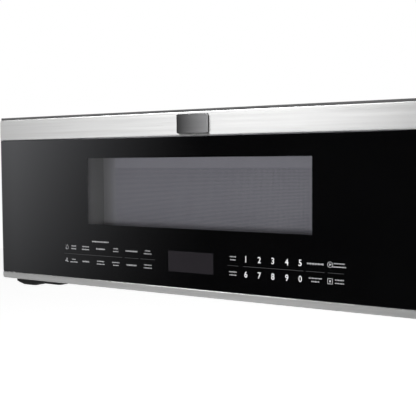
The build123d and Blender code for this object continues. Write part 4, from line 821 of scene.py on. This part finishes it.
def folded_trim(name, node_name, corners, glass_side, steel):
    """A folded trim: rounded front edges, then walls back to the node's own depth, or only the
    sheet's thickness on the side that meets the glass, and the same shape again inside."""
    low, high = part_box(node_name)
    outline, outward = rounded_outline(low[0], high[0], low[2], high[2], corners)
    short = outward[:, 1] * glass_side > 0.7
    back = np.where(short, low[1] + SHEET * 1.1, high[1])
    rows = round_over(FOLD, low[1]) + [(0.0, back), (SHEET, back), (SHEET, low[1] + SHEET)]
    trim = panel(name, outline, outward, rows)
    trim.data.materials.append(steel)
    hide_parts(node_name)
    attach(trim, "door")


BRUSH = brush_pattern()


def brushed(name, dark, pale):
    """Stainless steel brushed along X, between two tones."""
    return finish(
        name, dark, pale, BRUSH, {"Pitch": 1100.0, "Rough Low": 0.33, "Rough High": 0.43}, 0.2, 0.00002,
        Metallic=1.0, Anisotropic=0.7, Anisotropic_Rotation=0.25)


brushed_stainless = brushed("brushed_stainless", (0.60, 0.60, 0.598), (0.70, 0.70, 0.698))
# Painted shade: the strip's steel is a darker copy of the band's.
shaded_strip_stainless = brushed("shaded_strip_stainless", (0.45, 0.45, 0.448), (0.52, 0.52, 0.518))
folded_trim("steel_band", "door_top_band",
            (GLASS_CORNER, CORNER, CORNER, GLASS_CORNER), -1, brushed_stainless)
folded_trim("steel_strip", "door_bottom_trim",
            (CORNER, GLASS_CORNER, GLASS_CORNER, CORNER), 1, shaded_strip_stainless)


# ---- Rubber lip on the door's top ----
# A narrow extruded rubber lip pressed along the top fold of the band. It shows as a thin dark line
# over the steel and keeps crumbs out of the gap behind the door.
LIP_RISE = 0.0035
LIP_ROUND = 0.0008
LIP_INSET, LIP_SEAT = 0.0015, 0.0002     # in from the band's ends, and down into its fold
LIP_FRONT, LIP_BACK = 0.0012, 0.0046     # behind the band's face
low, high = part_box("door_top_band")
outline, outward = rounded_outline(
    low[0] + LIP_INSET, high[0] - LIP_INSET, high[2] - LIP_SEAT, high[2] + LIP_RISE, (LIP_ROUND,) * 4)
lip_front, lip_back = low[1] + LIP_FRONT, low[1] + LIP_BACK
top_lip = panel("top_lip", outline, outward, round_over(LIP_ROUND, lip_front) + [
    (LIP_ROUND * (1 - cos(t)), lip_back - LIP_ROUND * (1 - sin(t))) for t in (0.0, pi / 4, pi / 2)])
lip_rubber = finish(
    "lip_rubber", (0.045, 0.045, 0.046), (0.070, 0.070, 0.071), GRAIN,
    {"Scale": 700.0, "Rough Low": 0.55, "Rough High": 0.7}, 0.2)
top_lip.data.materials.append(lip_rubber)
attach(top_lip, "door")


# ---- Plate on the band ----
# A small cast plate, its sides left bright and its face a grey satin enamel with painted shade that
# darkens it towards its left edge, with nothing on it. A thin black pad, a little larger, glues it
# to the steel; its dark rim round the plate is partly a painted shadow gap.
low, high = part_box("badge_plate")
PAD_LIP = 0.0004         # how far the pad stands out round the plate
PAD_THICKNESS = 0.0009
PLATE_CORNER = 0.0025
outline, outward = rounded_outline(low[0], high[0], low[2], high[2], (PLATE_CORNER,) * 4)
plate_body = panel("plate_body", outline, outward, [
    (PAD_LIP + 0.0003, low[1] + 0.0002), (PAD_LIP + 0.0001, low[1] + 0.0003), (PAD_LIP, low[1] + 0.0006),
    (PAD_LIP, high[1] - PAD_THICKNESS)])
plate_face = panel("plate_face", outline, outward, [
    (PAD_LIP + 0.0003, low[1]), (PAD_LIP + 0.0001, low[1] + 0.0001), (PAD_LIP + 0.0001, low[1] + 0.0005)])
# The pad's dark rim round the plate is partly a painted shadow gap.
plate_pad = panel("plate_pad", outline, outward, [(0.0, high[1] - PAD_THICKNESS), (0.0, high[1])])
cast_metal = finish(
    "cast_metal", (0.74, 0.74, 0.745), (0.82, 0.82, 0.825), GRAIN,
    {"Scale": 900.0, "Rough Low": 0.22, "Rough High": 0.32}, 0.05, Metallic=1.0)
shaded_face_enamel = finish(
    "shaded_face_enamel", (0.15, 0.15, 0.153), (0.20, 0.20, 0.204), BRUSH,
    {"Pitch": 700.0, "Rough Low": 0.35, "Rough High": 0.5}, 0.2, 0.00002, Specular_IOR_Level=0.3)
tree = shaded_face_enamel.node_tree
# Painted shade: the face darkens towards its left edge, fading out to its own grey on the right.
overlay(shaded_face_enamel, math(tree, "SUBTRACT", 1.0, inside_box(tree, high[0] - low[0], low_x=low[0])),
        (0.010, 0.010, 0.0103))
for piece, coat in ((plate_body, cast_metal), (plate_face, shaded_face_enamel), (plate_pad, black_rubber)):
    piece.data.materials.append(coat)
    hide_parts("badge_plate")
    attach(piece, "door")


# ---- Studio: floor, surround, lights and camera ----
# A pale floor below and a white surround behind. A wide lamp high on the left lights gloss only, a
# low one in front matt faces only, and weak ones overhead and on the right light both. Gloss
# mirrors a dark room in front, a soft panel far left and a paler room on the right.
FLOOR_Z = -0.62
FLOOR_HALF, FLOOR_FRONT, FLOOR_BACK = 4.5, -1.9, 5.0
FLOOR_GREY, FLOOR_GLOW = 0.85, 0.5
CAMERA = (0.7076, -1.4398, 0.0568)
YAW, PITCH, ROLL = radians(34.748), radians(3.131), radians(0.436)
LENS, SENSOR = 75.33, 36.0
AMBIENT = 0.50
DARK_ROOM = 0.010        # the unlit room that gloss mirrors in front
PANEL_START, PANEL_END, PANEL_LEVEL = radians(33.7), radians(47.3), 1.20
PANEL_STOP = radians(56.0)
SIDE_ROOM = 0.70         # the paler room that edges turned to the right mirror
SIDE_START, SIDE_END = radians(10.0), radians(-20.0)
DOOR_MIDDLE = (0.0, -0.45, 0.0)

corners = [(-FLOOR_HALF, FLOOR_FRONT, FLOOR_Z), (FLOOR_HALF, FLOOR_FRONT, FLOOR_Z),
           (FLOOR_HALF, FLOOR_BACK, FLOOR_Z), (-FLOOR_HALF, FLOOR_BACK, FLOOR_Z)]
floor = new_piece("floor", corners, [(0, 1, 2, 3)], (0,))
floor_paper = bpy.data.materials.new("floor_paper")
floor_paper.use_nodes = True
tree = floor_paper.node_tree
tree.nodes.clear()
paper = node(tree, "ShaderNodeBsdfDiffuse", {"Color": (FLOOR_GREY, FLOOR_GREY, FLOOR_GREY, 1.0)})
rays = node(tree, "ShaderNodeLightPath").outputs
glow = node(tree, "ShaderNodeEmission", {
    "Strength": math(tree, "MULTIPLY", rays["Is Camera Ray"], FLOOR_GLOW)})
both = node(tree, "ShaderNodeAddShader", {0: paper.outputs[0], 1: glow.outputs[0]})
node(tree, "ShaderNodeOutputMaterial", {"Surface": both.outputs[0]})
floor.data.materials.append(floor_paper)

world = bpy.data.worlds.new("studio")
bpy.context.scene.world = world
world.use_nodes = True
tree = world.node_tree
tree.nodes.clear()
rays = node(tree, "ShaderNodeLightPath").outputs
parts = node(tree, "ShaderNodeSeparateXYZ", {
    0: node(tree, "ShaderNodeTexCoord").outputs["Generated"]}).outputs
behind = remap(tree, parts["Y"], -0.15, 0.25, DARK_ROOM, 1.0)
bearing = math(tree, "ARCTAN2", math(tree, "MULTIPLY", parts["X"], -1.0),
               math(tree, "MULTIPLY", parts["Y"], -1.0))
rise = remap(tree, bearing, PANEL_START, PANEL_END, 0.0, 1.0)
fall = remap(tree, bearing, PANEL_END, PANEL_STOP, 1.0, 0.0)
reach = math(tree, "MULTIPLY", math(tree, "POWER", rise, 2.0), fall)
tall = math(tree, "MULTIPLY", remap(tree, parts["Z"], -0.216, 0.04, 0.0, 1.5),
            remap(tree, parts["Z"], 0.05, 0.25, 1.0, 0.0))
soft_panel = math(tree, "MULTIPLY", math(tree, "MULTIPLY", reach, tall), PANEL_LEVEL)
side_room = remap(tree, bearing, SIDE_START, SIDE_END, 0.0, SIDE_ROOM)
mirrored = math(tree, "MAXIMUM", math(tree, "MAXIMUM", behind, side_room), soft_panel)
glossy = node(tree, "ShaderNodeMix", {0: rays["Is Glossy Ray"]})
glossy.inputs[2].default_value = AMBIENT
tree.links.new(mirrored, glossy.inputs[3])
seen = node(tree, "ShaderNodeMix", {
    0: math(tree, "MAXIMUM", rays["Is Camera Ray"], rays["Is Transmission Ray"])})
tree.links.new(glossy.outputs[0], seen.inputs[2])
seen.inputs[3].default_value = 1.0
sky = node(tree, "ShaderNodeBackground", {"Color": (1.0, 1.0, 1.0, 1.0), "Strength": seen.outputs[0]})
node(tree, "ShaderNodeOutputWorld", {"Surface": sky.outputs[0]})


def soft_light(name, place, aim, width, height, watts, diffuse=True, glossy=True):
    """A rectangular soft light at a place, turned to face its aim, for matt or glossy faces or both."""
    lamp = bpy.data.lights.new(name, "AREA")
    lamp.shape = "RECTANGLE"
    lamp.size, lamp.size_y, lamp.energy = width, height, watts
    held = bpy.data.objects.new(name, lamp)
    held.location = place
    held.rotation_euler = (Vector(aim) - Vector(place)).to_track_quat("-Z", "Y").to_euler()
    held.visible_diffuse, held.visible_glossy = diffuse, glossy
    bpy.context.scene.collection.objects.link(held)


soft_light("high_left", (-2.12, -2.95, 2.35), DOOR_MIDDLE, 2.2, 0.9, 152.0, diffuse=False)
soft_light("camera_fill", (0.9, -2.75, -0.10), DOOR_MIDDLE, 0.9, 0.5, 55.0, glossy=False)
soft_light("overhead", (0.2, -0.2, 2.0), (0.0, -0.2, 0.0), 1.6, 1.2, 16.0)
soft_light("right_side", (2.1, -0.5, 0.7), (0.1, -0.3, 0.0), 0.9, 0.9, 10.0)

lens = bpy.data.cameras.new("view")
lens.sensor_width, lens.lens = SENSOR, LENS
camera = bpy.data.objects.new("view", lens)
camera.location = CAMERA
camera.rotation_euler = (radians(90) - PITCH, ROLL, YAW)
bpy.context.scene.collection.objects.link(camera)
bpy.context.scene.camera = camera
bpy.context.scene.view_settings.view_transform = "Standard"
